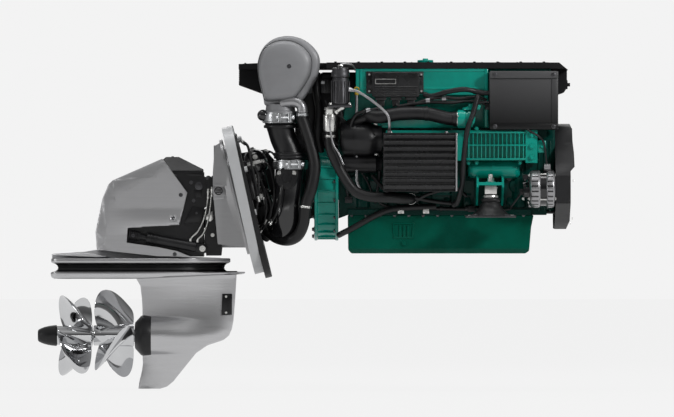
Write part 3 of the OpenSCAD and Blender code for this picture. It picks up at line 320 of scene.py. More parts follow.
# Making pieces: everything is drawn in millimetres and finished in metres

def face_from(bm, points):
    """One flat face through the points."""
    return bm.faces.new([bm.verts.new(p) for p in points])


def once(elements):
    """Each element once, in the order of its first turn."""
    return list(dict.fromkeys(elements))


def slab(bm, outline, low, high, axis="y", edge=0.0, steps=2):
    """An outline side on (x, z), from the front (y, z) or in plan (x, y), pulled from low to high."""
    place = {"y": lambda a, b: (a, low, b), "x": lambda a, b: (low, a, b), "z": lambda a, b: (a, b, low)}[axis]
    before = set(bm.verts)
    flat = face_from(bm, [place(*p) for p in outline])
    pulled = bmesh.ops.extrude_face_region(bm, geom=[flat])
    moved = [g for g in pulled["geom"] if isinstance(g, bmesh.types.BMVert)]
    bmesh.ops.translate(bm, vec=Vector(AXES[axis]) * (high - low), verts=moved)
    made = [v for v in bm.verts if v not in before]
    bmesh.ops.recalc_face_normals(bm, faces=once(f for v in made for f in v.link_faces))
    if edge:
        edges = [e for e in once(e for v in made for e in v.link_edges) if e.calc_face_angle(0.0) > 0.5]
        made = bevelled(bm, edges, edge, steps, made)
    return made


def bevelled(bm, edges, width, steps, around):
    """Rounds the edges, and gives the vertices of the faces around with the new ones."""
    faces = once(f for v in around for f in v.link_faces)
    new = bmesh.ops.bevel(bm, geom=edges, offset=width, offset_type="OFFSET", affect="EDGES",
                          segments=steps, profile=0.5, material=-1, clamp_overlap=True)
    return once([v for f in faces if f.is_valid for v in f.verts] + list(new["verts"]))


def brick(bm, low, high, edge=0.0, steps=2):
    """A box between two corners, with rounded edges where asked."""
    return slab(bm, [(low[0], low[2]), (high[0], low[2]), (high[0], high[2]), (low[0], high[2])],
                low[1], high[1], "y", edge, steps)


def lathe(bm, profile, centre=(0, 0, 0), axis="x", steps=48):
    """A profile of (along, radius) turned about an axis through the centre."""
    along = Vector(AXES[axis] if isinstance(axis, str) else axis).normalized()
    out = along.orthogonal().normalized()
    middle = Vector(centre)
    verts = [bm.verts.new(middle + along * a + out * max(r, 0.0)) for a, r in profile]
    edges = [bm.edges.new(pair) for pair in zip(verts, verts[1:])]
    bmesh.ops.spin(bm, geom=verts + edges, cent=middle, axis=along, angle=math.tau,
                   steps=steps, use_merge=True, use_normal_flip=False, use_duplicate=False)


def rod(bm, low, high, r, centre=(0, 0, 0), axis="x", steps=48):
    """A plain round bar."""
    lathe(bm, [(low, 0), (low, r), (high, r), (high, 0)], centre, axis, steps)


def band(bm, low, high, inner, outer, centre=(0, 0, 0), axis="x", steps=48):
    """A plain ring."""
    lathe(bm, [(low, inner), (low, outer), (high, outer), (high, inner)], centre, axis, steps)


def soft_path(points, steps):
    """A smooth line through the points."""
    line = []
    pts = [Vector(p) for p in points]
    for i in range(len(pts) - 1):
        a, b = pts[max(i - 1, 0)], pts[i]
        c, d = pts[i + 1], pts[min(i + 2, len(pts) - 1)]
        for k in range(steps):
            t = k / steps
            line.append(0.5 * ((2 * b) + (c - a) * t + (2 * a - 5 * b + 4 * c - d) * t * t
                               + (3 * b - a - 3 * c + d) * t ** 3))
    return line + [pts[-1]]


def soft_outline(points, steps):
    """A smooth flat line through the points."""
    return [p.to_2d() for p in soft_path([(*p, 0) for p in points], steps)]


def flank(side, near, far):
    """Two distances from the middle, low first, on one side of it."""
    return sorted((side * near, side * far))


def turns(count, start=0.5):
    """Cosine and sine of evenly spaced angles."""
    for i in range(count):
        angle = math.tau * (i + start) / count
        yield math.cos(angle), math.sin(angle)


def swung(bm, verts, angle, axis, to=(0, 0, 0)):
    """Turns what was drawn about the origin, and moves it to its centre."""
    bmesh.ops.rotate(bm, verts=verts, cent=(0, 0, 0), matrix=Matrix.Rotation(angle, 3, axis))
    bmesh.ops.translate(bm, verts=verts, vec=to)


def tube(bm, points, radius, sides=16, steps=6, wave=None):
    """A round hose along a curve; wave gives a radius change along its length."""
    line = soft_path(points, steps)
    ways = [(line[min(i + 1, len(line) - 1)] - line[max(i - 1, 0)]).normalized() for i in range(len(line))]
    lift = ways[0].orthogonal().normalized()
    rings, run = [], 0.0
    for i, (p, way) in enumerate(zip(line, ways)):
        run += (p - line[i - 1]).length if i else 0.0
        lift = (lift - way * lift.dot(way)).normalized()
        side = way.cross(lift)
        r = radius(i / (len(line) - 1)) if callable(radius) else radius
        r += wave(run) if wave else 0.0
        turn = Matrix((lift, side, way)).transposed().to_4x4()
        made = bmesh.ops.create_circle(bm, cap_ends=False, segments=sides, radius=r,
                                       matrix=Matrix.Translation(p) @ turn)
        rings.append(made["verts"])
    for low, high in zip(rings, rings[1:]):
        for k in range(sides):
            bm.faces.new((low[k], low[(k + 1) % sides], high[(k + 1) % sides], high[k]))
    bm.faces.new(list(reversed(rings[0])))
    bm.faces.new(rings[-1])


def hex_bolt(bm, at, axis, across=13.0, tall=8.0, washer=True, socket=False):
    """A bolt head on its washer, standing out along the axis."""
    way = Vector(axis).normalized()
    turn = way.to_track_quat("Z", "Y").to_matrix().to_4x4()
    put = Matrix.Translation(Vector(at)) @ turn
    if washer:
        bmesh.ops.create_cone(bm, cap_ends=True, segments=20, radius1=across * 0.85, radius2=across * 0.82,
                              depth=2.0, matrix=put @ Matrix.Translation((0, 0, 1.0)))
    sides = 24 if socket else 6
    bmesh.ops.create_cone(bm, cap_ends=True, segments=sides, radius1=across * 0.56, radius2=across * 0.5,
                          depth=tall, matrix=put @ Matrix.Translation((0, 0, tall / 2 + 1.0)))
    if socket:
        bmesh.ops.create_cone(bm, cap_ends=True, segments=6, radius1=across * 0.26, radius2=across * 0.2,
                              depth=1.0, matrix=put @ Matrix.Translation((0, 0, tall + 1.2)))


def linked(name, data):
    """A new object of the scene."""
    made = bpy.data.objects.new(name, data)
    bpy.context.scene.collection.objects.link(made)
    return made


def placed(name, bm, finish, body, stands_for=(), crease=35.0):
    """Turns the drawn shape into a piece that rides on its body."""
    bmesh.ops.remove_doubles(bm, verts=bm.verts, dist=0.01)
    bmesh.ops.recalc_face_normals(bm, faces=bm.faces)
    bmesh.ops.scale(bm, vec=(0.001, 0.001, 0.001), verts=bm.verts)
    return finished(name, bm, finish, body, stands_for, crease)


def finished(name, bm, finish, body, stands_for, crease, bevel=0.0, steps=2):
    """Turns a shape in metres into a piece, with its sharp edges rounded where asked."""
    mesh = bpy.data.meshes.new(name)
    for f in bm.faces:
        f.smooth = True
    bm.to_mesh(mesh)
    bm.free()
    mesh.set_sharp_from_angle(angle=math.radians(crease))
    piece = linked(name, mesh)
    mesh.materials.append(FINISHES[finish].material)
    if bevel:
        edges = piece.modifiers.new("Edges", "BEVEL")
        edges.width, edges.segments = bevel * 0.001, steps
        edges.limit_method, edges.angle_limit = "ANGLE", math.radians(crease)
        edges.use_clamp_overlap = True
        edges.harden_normals = True
    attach(piece, body)
    if stands_for:
        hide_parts(*([stands_for] if isinstance(stands_for, str) else stands_for))
    return piece


def bent(piece, one, other, start, end):
    """Lets a piece bend between two bodies instead of riding on one."""
    piece.parent = None
    del piece["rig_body"]
    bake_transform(piece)


def mirrored(bm):
    """Adds the port side to what was drawn to starboard."""
    geom = bm.verts[:] + bm.edges[:] + bm.faces[:]
    copy = bmesh.ops.duplicate(bm, geom=geom)["geom"]
    verts = [g for g in copy if isinstance(g, bmesh.types.BMVert)]
    bmesh.ops.scale(bm, vec=(1, -1, 1), verts=verts)
    bmesh.ops.reverse_faces(bm, faces=[g for g in copy if isinstance(g, bmesh.types.BMFace)])


def copied(node, join=0.5):
    """A merged copy of a CAD node's mesh, in metres, with its flat faces made whole."""
    bm = bmesh.new()
    bm.from_mesh(frame["nodes"][node].data)
    bmesh.ops.remove_doubles(bm, verts=bm.verts, dist=1e-5)
    bmesh.ops.dissolve_limit(bm, angle_limit=math.radians(join), verts=bm.verts, edges=bm.edges,
                             use_dissolve_boundaries=False)
    return bm


def dressed(node, bevel, steps=2):
    """The CAD node again, with its edges rounded."""
    finished(node + "_rounded", copied(node), NODE_FINISH[node], BODY_OF[node], node, 32.0, bevel, steps)


# Drive: side covers, plates, leg and propellers

def gridded(bm, low, high, step):
    """Cuts the mesh along evenly spaced planes in X and Z."""
    for axis, way in ((0, (1, 0, 0)), (2, (0, 0, 1))):
        for i in range(1, int((high[axis] - low[axis]) / step) + 1):
            at = low[axis] + i * step
            bmesh.ops.bisect_plane(bm, geom=bm.verts[:] + bm.edges[:] + bm.faces[:], dist=1e-6,
                                   plane_co=tuple(at * w for w in way), plane_no=way)


COVER_SCREWS = [(-276, -16), (-307, -107), (-300, -252)]
# The round aft and top edge of a side cover, and its sharper forward lip, side on
COVER_EDGE = [(-0.609, -0.30), (-0.611, -0.231), (-0.616, -0.163), (-0.588, -0.029), (-0.564, 0.026), (-0.548, 0.042),
              (-0.352, 0.128)]
COVER_LIP = [(-0.346, 0.124), (-0.251, -0.007), (-0.239, -0.261)]
COVER_GRID = 0.0065
RIM_DEPTH = 0.012
EDGE_WIDTH, EDGE_START = 0.06, 0.2
LIP_WIDTH, LIP_START = 0.006, 0.75
COVER_POWER = 2.4
# The crease fades in forward of this point, and its bulge ends this far below it
CREASE_AFT, CREASE_FADE, CREASE_BAND = -0.57, 0.14, 0.1


def to_edge(x, z, line):
    """How far a point lies from a broken line."""
    point = Vector((x, z))
    best = 1.0
    for a, b in zip(line, line[1:]):
        near, share = intersect_point_line(point, Vector(a), Vector(b))
        near = Vector(a) + (Vector(b) - Vector(a)) * min(1.0, max(0.0, share))
        best = min(best, (near - point).length)
    return best


def build_cover(sign, word, looks):
    """A side cover: a soft skin, with one crease level with the trim ram's upper end."""
    node = "cover_" + word
    bm = copied(node, 1.0)
    low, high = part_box(node)
    gridded(bm, low, high, COVER_GRID)
    side = high[1] if sign > 0 else low[1]
    rim = (low[1] if sign > 0 else high[1]) + sign * RIM_DEPTH
    skin = {f for f in bm.faces if f.normal.y * sign > 0.2}
    for v in {v for f in skin for v in f.verts}:
        inset = min(1.0, to_edge(v.co.x, v.co.z, COVER_EDGE) / EDGE_WIDTH + EDGE_START,
                    to_edge(v.co.x, v.co.z, COVER_LIP) / LIP_WIDTH + LIP_START)
        v.co.y = rim + (side - rim) * (1 - (1 - inset) ** COVER_POWER) ** (1 / COVER_POWER)
    outer = [v for v in bm.verts if v.link_faces and all(f in skin for f in v.link_faces)]
    for _ in range(looks.cover_softness):
        moved = {v: sum(e.other_vert(v).co.y for e in v.link_edges) / len(v.link_edges) for v in outer}
        for v, y in moved.items():
            v.co.y = y
    for v in outer:
        below = looks.crease_height - v.co.z
        inside = min(1.0, max(0.0, (v.co.x - CREASE_AFT) / CREASE_FADE))
        v.co.y += sign * looks.crease_depth * inside * math.sin(math.pi * min(1.0, max(0.0, below / CREASE_BAND)))
    bmesh.ops.recalc_face_normals(bm, faces=bm.faces)
    finished("side_cover_" + word, bm, "cover_silver", LEG, node, 58.0, 2.0, 3)


def build_covers(looks):
    """Both side covers, with their recessed screws."""
    for side, word in SIDES:
        build_cover(side, word, looks)
    bm = bmesh.new()
    for side, word in SIDES:
        y = max(abs(corner[1]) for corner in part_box("cover_" + word)) * 1000
        for x, z in COVER_SCREWS:
            lathe(bm, [(-6, 0), (-6, 8.4), (1.0, 8.2), (1.8, 7), (1.8, 5.4), (0.2, 4.6), (0.2, 0)], (x, side * y, z),
                  (0, side, 0), 24)
    placed("cover_screws", bm, "dark_steel", LEG)


def plate(bm, half, levels, taper=None):
    """A plate drawn in plan and pulled down through (height, inset) levels."""
    line = soft_outline(half, 4)
    ring = line + [Vector((p.x, -p.y)) for p in reversed(line)]
    if (ring[0] - ring[-1]).length < 1:
        ring.pop()
    count = len(ring)
    outward = []
    for i in range(count):
        way = ring[(i + 1) % count] - ring[i - 1]
        outward.append(Vector((-way.y, way.x)).normalized())
    if (ring[2] + outward[2] * 5).y < ring[2].y:
        outward = [-o for o in outward]
    z0, inset0 = levels[0]
    flat = face_from(bm, [(*(p - o * inset0), z0) for p, o in zip(ring, outward)])
    for z, inset in levels[1:]:
        order = list(flat.verts)
        pulled = bmesh.ops.extrude_face_region(bm, geom=[flat], use_keep_orig=False)["geom"]
        flat = next(g for g in pulled if isinstance(g, bmesh.types.BMFace))
        for v in flat.verts:
            i = min(range(count), key=lambda k: (order[k].co - v.co).length)
            v.co = (*(ring[i] - outward[i] * inset), z)
    if taper:
        for v in bm.verts:
            v.co.z = taper(v.co)


def build_plates(looks):
    """The anti-splash plate over its black channel, and the shoulder above it."""
    bm = bmesh.new()
    upper = [(-81, 3), (-86, 14), (-140, 60), (-250, 122), (-420, 150), (-620, 146), (-760, 124), (-790, 106),
             (-793, 90)]
    plate(bm, upper, [(-270, 90), (-269, 30), (-269, 5), (-271, 0.5), (-280, 0), (-285, 1), (-288, 6), (-291, 18),
                      (-297, 26), (-306, 30), (-314, 27), (-319, 20), (-322.9, 9)])
    placed("anti_splash_plate", bm, "cast_silver", LEG, "intermediate_housing", 50)
    # A black strip laid in the channel: painted shade where the plates overhang it
    bm = bmesh.new()
    plate(bm, upper, [(-291.5, 60), (-291.5, 17.2), (-297, 25), (-306, 29), (-314, 26), (-320, 16.5), (-320, 60)])
    placed("plate_channel", bm, "satin_black", LEG, (), 50)
    bm = bmesh.new()
    slab(bm, [(-790, -251), (-666, -243), (-612, -234), (-372, -262), (-240, -264), (-120, -268), (-120, -272),
              (-790, -272)],
         -99, 99, "y", 2.0, 2)
    for v in bm.verts:
        if v.co.z > -262 and abs(v.co.y) > 60:
            v.co.y *= 0.84
    slab(bm, [(-792, -253), (-640, -249), (-560, -262), (-610, -264), (-788, -257)], -112, 112, "y", 1.0, 1)
    placed("plate_shoulder", bm, "cast_silver", LEG, (), 40)


def curve_between(points, value):
    """The x of an outline at a height."""
    for (xa, za), (xb, zb) in zip(points, points[1:]):
        if min(za, zb) <= value <= max(za, zb):
            return xa + (xb - xa) * (value - za) / (zb - za if zb != za else 1)
    return points[0][0] if abs(value - points[0][1]) < abs(value - points[-1][1]) else points[-1][0]


LEG_TOP, LEG_FOOT = -320.0, -790.5
# The round body about the propeller shafts: where it starts, where it ends, and its radius
BODY_FORE, BODY_AFT, BODY_R = -76.0, -432.0, 76.0
BODY_GROWTH = 300.0


def build_leg(looks):
    """The gearcase: strut, body round the propeller shafts and skeg as one flowing skin."""
    fore = [(-52, -318), (-55, -330), (-61, -434), (-68, -520), (-75, -554), (-86, -578), (-107, -596), (-140, -607),
            (-172, -617), (-217, -648), (-269, -712), (-309, -762), (-335, -783), (-361, -790.5)]
    aft = [(-484, -318), (-472, -330), (-456, -352), (-440, -380), (-434, -430), (-432, -470), (-432, -652),
           (-430, -690), (-434, -720), (-445, -766), (-448, -790.5)]
    thickness = soft_outline(((46, -300), (40, -330), (35, -400), (37, -470), (45, -530), (51, -570), (49, -600),
                              (38, -640), (25, -676), (15, -716), (9, -760), (7, -800)), 8)
    bm = bmesh.new()
    bmesh.ops.create_grid(bm, x_segments=64, y_segments=110, size=1.0)
    for v in bm.verts:
        s, t = (v.co.x + 1) / 2, (v.co.y + 1) / 2
        z = LEG_TOP + (LEG_FOOT - LEG_TOP) * t
        x0, x1 = curve_between(fore, z), curve_between(aft, z)
        u = s ** 1.9
        x = x0 + (x1 - x0) * u
        half = curve_between(thickness, z)
        flat = half * max(0.0, 2.6 * math.sqrt(u) - 1.35 * u - 1.25 * u * u) / 1.02
        grow = min(1.0, max(0.0, (x - BODY_FORE) / (BODY_AFT - BODY_FORE)))
        body = BODY_R * math.sqrt(max(0.0, 1 - (1 - grow) ** 3.2)) if x < BODY_FORE else 0.0
        ball = math.sqrt(max(0.0, body ** 2 - (z - PROP_Z) ** 2))
        near = min(1.0, max(0.0, (BODY_FORE - x) / BODY_GROWTH))
        ball *= near * near * (3 - 2 * near)
        flare = 26 * max(0.0, (z + 352) / 32) ** 2 * math.sqrt(max(0.0, u * (1 - u))) * 2
        wide = (flat ** 2.3 + ball ** 2.3) ** (1 / 2.3) + flare
        v.co = (x, -(max(wide, 1.0) if 0.001 < s < 0.999 else 0.0), z)
    mirrored(bm)
    bmesh.ops.remove_doubles(bm, verts=bm.verts, dist=0.3)
    bmesh.ops.holes_fill(bm, edges=[e for e in bm.edges if e.is_boundary], sides=0)
    lower = [(-21, 2), (-30, 12), (-95, 52), (-230, 120), (-420, 158), (-640, 154), (-770, 130), (-792, 112),
             (-795, 96)]
    table = bmesh.new()
    plate(table, lower, [(-323.2, 60), (-323.2, 6), (-325, 1.5), (-330, 0), (-340, 1), (-346, 5), (-349.5, 14),
                         (-350.5, 80)],
          lambda c: -323.2 + (c.z + 323.2) * (0.32 + 0.68 * min(1.0, max(0.0, (-21 - c.x) / 420))))
    placed("lower_plate", table, "cast_silver", LEG, (), 50)
    placed("gearcase", bm, "cast_silver", LEG, "lower_gearcase", 55)
    for side, word in SIDES:
        bm = bmesh.new()
        slab(bm, [(-115, -496), (-74, -495), (-73, -411), (-112, -411)], *flank(side, 23, 9), "y", 1.5, 2)
        for i in range(9):
            low, high = flank(side, 22, 25)
            brick(bm, (-94, low, -482 + i * 6.6), (-78, high, -479.4 + i * 6.6), 0.5, 1)
        for v in bm.verts:
            v.co.y += side * (-73 - v.co.x) * 0.27
        placed("inlet_grille_" + word, bm, "moulded_black", LEG, "inlet_grilles" if side < 0 else ())
    bm = bmesh.new()
    for side in (-1, 1):
        for z in (-422, -486):
            hex_bolt(bm, (-97, side * 28.5, z), (0, side, 0), 9, 2.5, False, True)
    placed("grille_screws", bm, "bright_zinc", LEG)
    bm = bmesh.new()
    lathe(bm, [(-396, 60), (-396, 76), (-399, 78.5), (-428, 81), (-433, 80.5), (-438, 78), (-461, 52), (-462, 46),
               (-459, 27)],
          (0, 0, PROP_Z), "x", 64)
    placed("shaft_collar_ring", bm, "moulded_black", LEG, "shaft_collar", 40)


BLADE_PITCH = 620.0


def build_blades(bm, count, turn, root, tip, chord, hand, middle, sweep, thick):
    """Blades as two skins each, wound about the shaft and closed along their rims."""
    for n in range(count):
        new = bmesh.ops.create_grid(bm, x_segments=22, y_segments=16, size=1.0)["verts"]
        back = bmesh.ops.duplicate(bm, geom=list(new) + once(f for v in new for f in v.link_faces))["geom"]
        back = [g for g in back if isinstance(g, bmesh.types.BMVert)]
        spin = Matrix.Rotation(math.radians(turn + 360 * n / count), 4, "X")
        for verts, f in ((new, 1), (back, -1)):
            for v in verts:
                s, q = (v.co.x + 1) / 2, v.co.y
                s = 1 - (1 - s) ** 1.25
                r = root + (tip - root) * (1 - (1 - s) ** 1.35)
                c = chord * (0.52 + 0.9 * s - 0.15 * s * s) * math.sqrt(max(0.012, 1 - s ** 4.2))
                phi = math.atan(BLADE_PITCH / (math.tau * r))
                lie = q * c / 2
                t = (thick * (1 - 0.72 * s) * (1 - q * q) + 1.1) / 2
                cup = 7.0 * max(0.0, -q * hand - 0.55) * s
                x = middle - 16 * s + lie * math.sin(phi) + f * t * math.cos(phi) - cup
                a = hand * (math.radians(sweep * s ** 1.6) + (lie * math.cos(phi) - f * t * math.sin(phi)) / r)
                v.co = spin @ Vector((x, r * math.sin(a), r * math.cos(a))) + Vector((0, 0, PROP_Z))
        rims = once(e for v in list(new) + back for e in v.link_edges if e.is_boundary)
        bmesh.ops.bridge_loops(bm, edges=rims)


def build_propellers(looks):
    """Both propellers on their hubs, and the cone nut."""
    bm = bmesh.new()
    lathe(bm, [(-627, 27), (-627, 38), (-625, 40.5), (-560, 41.5), (-500, 43.5), (-470, 44.5), (-465, 43),
               (-465, 27)],
          (0, 0, PROP_Z), "x", 64)
    build_blades(bm, looks.front_blades, 8, 34, 184, 262, 1, -538, 26, 13)
    placed("front_propeller_polished", bm, "polished_steel", "front_prop", "front_propeller", 60)
    bm = bmesh.new()
    lathe(bm, [(-774, 19), (-774, 36), (-772, 37.5), (-700, 39.5), (-640, 41), (-633, 41.5), (-631, 39), (-631, 27)],
          (0, 0, PROP_Z), "x", 64)
    build_blades(bm, looks.rear_blades, 20, 34, 174, 224, -1, -694, 24, 12)
    placed("rear_propeller_polished", bm, "polished_steel", "rear_prop", "rear_propeller", 60)
    bm = bmesh.new()
    lathe(bm, [(-774.2, 20), (-774.2, 40), (-777, 42), (-792, 40.5), (-808, 38), (-824, 34), (-836, 29.5),
               (-845, 25), (-848.5, 22), (-850, 18), (-850, 6), (-846, 5), (-846, 0)], (0, 0, PROP_Z), "x", 64)
    placed("cone_nut", bm, "moulded_black", "rear_prop", "nose_cone", 40)


# Drive: housing, trim rams, yoke and shield

def build_gear_housing(looks):
    """Black gear housing with its bolts, ribs and cap."""
    dressed("upper_gear_housing", 2.0)
    dressed("cover_top", 4.0, 3)
    dressed("drive_fasteners", 0.8)
    bm = bmesh.new()
    for side in (-1, 1):
        for x, z in ((-236, 34), (-226, -38), (-214, -88), (-300, 60)):
            hex_bolt(bm, (x, side * 84, z), (0, side, 0), 9, 5, True, True)
        for x, z in ((-168, 52), (-164, 24), (-160, -52)):
            hex_bolt(bm, (x, side * 84, z), (0, side, 0), 11, 6)
        lathe(bm, [(0, 16), (3, 16), (4, 14), (4, 8), (7, 7), (8, 0)], (-205, side * 84, 20), (0, side, 0), 28)
    placed("housing_bolts", bm, "dark_steel", LEG)
    bm = bmesh.new()
    for side in (-1, 1):
        low, high = flank(side, 83.5, 87.5)
        slab(bm, [(-246, 60), (-192, 60), (-190, 70), (-256, 70)], low, high, "y", 1.2)
        slab(bm, [(-232, -60), (-190, -66), (-190, -124), (-262, -128), (-250, -96)], low, high, "y", 1.5)
        slab(bm, [(-222, 4), (-192, 4), (-192, -26), (-216, -26)], low, high, "y", 1.5)
    placed("housing_ribs", bm, "satin_black", LEG)
    bm = bmesh.new()
    for x, z in ((-311, 131.5), (-338, 112)):
        for y in (-38, 38):
            hex_bolt(bm, (x, y, z + 3), (0, 0, 1), 8, 3, False, True)
    placed("top_cap_screws", bm, "dark_steel", LEG)


RAM_TILT = math.atan2(52, 276)
# Where a trim barrel turns on the yoke
RAM_X, RAM_Y, RAM_Z = -190, 111.5, -230


def along_ram(bm, side):
    """Turns what was drawn along X onto the trim ram of that side, from its anchor."""
    spin = Matrix.Rotation(math.pi + RAM_TILT, 4, "Y")
    bm.transform(Matrix.Translation((RAM_X, side * RAM_Y, RAM_Z)) @ spin)


def build_rams(looks):
    """Trim barrels with their eyes, and rods in folded boots."""
    for side, word in SIDES:
        bm = bmesh.new()
        ribs = [(184 + i * 7 + d, 20.3 + g) for i in range(4) for d, g in ((0, 0), (1, 1.6), (4, 1.6), (5, 0))]
        lathe(bm, [(24, 0), (24, 15), (28, 19.5), (40, 19.8), (60, 18.6), (176, 19.6)] + ribs
              + [(213, 20), (221, 21), (226, 20.2), (227, 17), (227, 12)], steps=40)
        along_ram(bm, side)
        placed("trim_barrel_body_" + word, bm, "satin_black", "barrel_" + word, "trim_barrel_" + word, 40)
        bm = bmesh.new()
        lathe(bm, [(0, 0), (0, 17), (-1, 20), (-8, 20), (-9.4, 17), (-9.4, 0)], (0, 0, 0), (0, 1, 0), 40)
        bm.transform(Matrix.Translation((0, 8.4 if side > 0 else 1, 0)))
        slab(bm, [(0, -15), (30, -17), (34, 0), (30, 17), (0, 15)], -9, 8, "y", 1.5)
        along_ram(bm, side)
        placed("barrel_eye_" + word, bm, "satin_black", "barrel_" + word)
        bm = bmesh.new()
        folds = [(256.8 + i * 7.2 + d, 15.5 + g) for i in range(6) for d,
                 g in ((0, 0), (1.4, 4.2), (4.4, 4.2), (5.8, 0))]
        lathe(bm, [(60, 0), (60, 11), (252, 11), (253, 15.5)] + folds + [(298, 14), (299, 0)], steps=40)
        along_ram(bm, side)
        placed("trim_rod_body_" + word, bm, "moulded_black", "rod_" + word, "trim_rod_" + word, 35)


def build_yoke(looks):
    """Steering yoke with its bolts, trim pipes, brackets and cables."""
    dressed("steering_yoke", 1.6)
    bm = bmesh.new()
    for side in (-1, 1):
        hex_bolt(bm, (-125, side * 103, 0), (0, side, 0), 20, 5)
        hex_bolt(bm, (-140, side * 100, 44), (0, side, 0), 10, 5)
        hex_bolt(bm, (-112, side * 100, 58), (0, side, 0), 10, 5)
        hex_bolt(bm, (RAM_X, side * 119.6, RAM_Z), (0, side, 0), 15, 3)
        hex_bolt(bm, (-150, side * 100, -176), (0, side, 0), 9, 4)
    placed("yoke_bolts", bm, "bright_zinc", YOKE)
    routes = (((-168, 105.6, -4), (-171, 107, -50), (-184, 109, -110), (-208, 111, -160), (-232, 112, -184),
               (-238, 112, -199)),
              ((-153, 105.6, 4), (-157, 107, -50), (-168, 109, -120), (-186, 111, -168), (-206, 112, -190),
               (-210, 112, -203)))
    for side, word in SIDES:
        bm = bmesh.new()
        for route in routes:
            tube(bm, [(x, side * y, z) for x, y, z in route], 3.1, 12, 6)
            x, y, z = route[0]
            lathe(bm, [(z - 28, 3.5), (z - 26, 5), (z - 20, 5.5), (z - 19, 4.4), (z - 6, 4.4), (z - 5, 5.5),
                       (z + 3, 5.5),
                       (z + 4, 3.8), (z + 12, 3.8), (z + 13, 0)], (x, side * y, 0), "z", 6)
            x, y, z = route[-1]
            lathe(bm, [(-2, 0), (-2, 5), (5, 5.5), (6, 3.4), (9, 3.4)], (x, side * (y + 0.2), z), "z", 12)
        pipes = placed("trim_pipes_" + word, bm, "bright_zinc", YOKE, "trim_hoses" if side < 0 else (), 45)
        bent(pipes, YOKE, "barrel_" + word, (-0.172, side * 0.109, -0.09), (-0.222, side * 0.112, -0.192))
    bm = bmesh.new()
    for side in (-1, 1):
        low, high = flank(side, 100, 103)
        slab(bm, [(-176, -98), (-150, -80), (-146, -112), (-160, -122), (-176, -114)], low, high, "y", 0.8)
    placed("pipe_brackets", bm, "bright_zinc", YOKE)
    bm = bmesh.new()
    for side in (-1, 1):
        tube(bm, [(-132, side * 103, 96), (-136, side * 106, 60), (-146, side * 107, 30), (-142, side * 106, -20),
                  (-136, side * 104, -80), (-140, side * 103, -150)], 4.2, 10, 5)
    placed("sensor_cables", bm, "rubber", YOKE)


def folded_sleeve(bm, x0, x1, outer, inner, folds, z):
    """Rubber bellows between two rims."""
    step = (x1 - x0) / folds
    profile = []
    for i in range(folds * 6 + 1):
        t = i / 6
        profile.append((x0 + t * step, inner + (outer - inner) * (0.5 - 0.5 * math.cos(math.tau * t))))
    lathe(bm, profile, (0, 0, z), "x", 40)
    lathe(bm, [(x0, inner - 3), (x0, inner + 4), (x0 + 5, inner + 4), (x0 + 5, inner)], (0, 0, z), "x", 40)
    lathe(bm, [(x1 - 5, inner), (x1 - 5, inner + 4), (x1, inner + 4), (x1, inner - 3)], (0, 0, z), "x", 40)


def build_bellows(looks):
    """Two sleeves at each hinge, which bend across it."""
    for name, node, x0, x1, bodies in (("bellows_sleeves_aft", "bellows_aft", -185.7, -125.3, (LEG, YOKE)),
                                       ("bellows_sleeves_fore", "bellows_fore", -124.7, -44.3, (YOKE, ENGINE))):
        bm = bmesh.new()
        folded_sleeve(bm, x0, x1, 51.5, 44, 5, 0)
        folded_sleeve(bm, x0, x1, 39.5, 34, 5, -110)
        bent(placed(name, bm, "rubber", bodies[0], node, 60), *bodies, (x0 / 1000, 0, 0), (x1 / 1000, 0, 0))


def raked(bm):
    """Leans what was drawn upright to the slope of the transom."""
    bmesh.ops.rotate(bm, verts=bm.verts, cent=(0, 0, 0), matrix=Matrix.Rotation(-RAKE, 3, "Y"))


def build_shield(looks):
    """Transom shield, its clamp ring and seal, and the hinge plugs."""
    dressed("transom_shield", 2.4, 3)
    for node, fore_shift, aft_shift, split in (("clamp_ring", 0.017, 0.011, -0.040),
                                               ("transom_seal", 0.0, 0.017, -0.012)):
        bm = copied(node)
        for v in bm.verts:
            flat = Matrix.Rotation(RAKE, 3, "Y") @ v.co
            share = min(1.0, max(0.0, (flat.z + 0.25) / 0.5))
            v.co += Matrix.Rotation(-RAKE, 3, "Y") @ Vector((share * (aft_shift if flat.x < split else fore_shift), 0,
                                                             0))
        finished(node + "_rounded", bm, NODE_FINISH[node], ENGINE, node, 32.0, 1.8, 3)
    bm = bmesh.new()
    for side in (-1, 1):
        low, high = flank(side, 166, 175)
        slab(bm, [(-146, 20), (-104, 14), (-96, 2), (-96, -20), (-104, -32), (-146, -38)], low, high, "y", 3, 2)
    placed("cheek_bosses", bm, "hood_silver", ENGINE, (), 30)
    bm = bmesh.new()
    for side in (-1, 1):
        lathe(bm, [(160, 0), (170, 8), (175, 13), (176.5, 15), (176.5, 16.6), (173, 17)], (HINGE_X, 0, 0),
              (0, side, 0), 40)
        for z in (-7, 0, 7):
            low, high = flank(side, 175, 178.2)
            brick(bm, (HINGE_X - 11, low, z - 1.6), (HINGE_X + 11, high, z + 1.6), 0.8)
    placed("cheek_plugs", bm, "moulded_black", ENGINE, "pin_plugs", 40)
    bm = bmesh.new()
    for c, s in turns(8):
        hex_bolt(bm, (-61, 228 * c, 228 * s), (-1, 0, 0), 16, 9)
    raked(bm)
    placed("ring_nuts", bm, "bright_zinc", ENGINE)


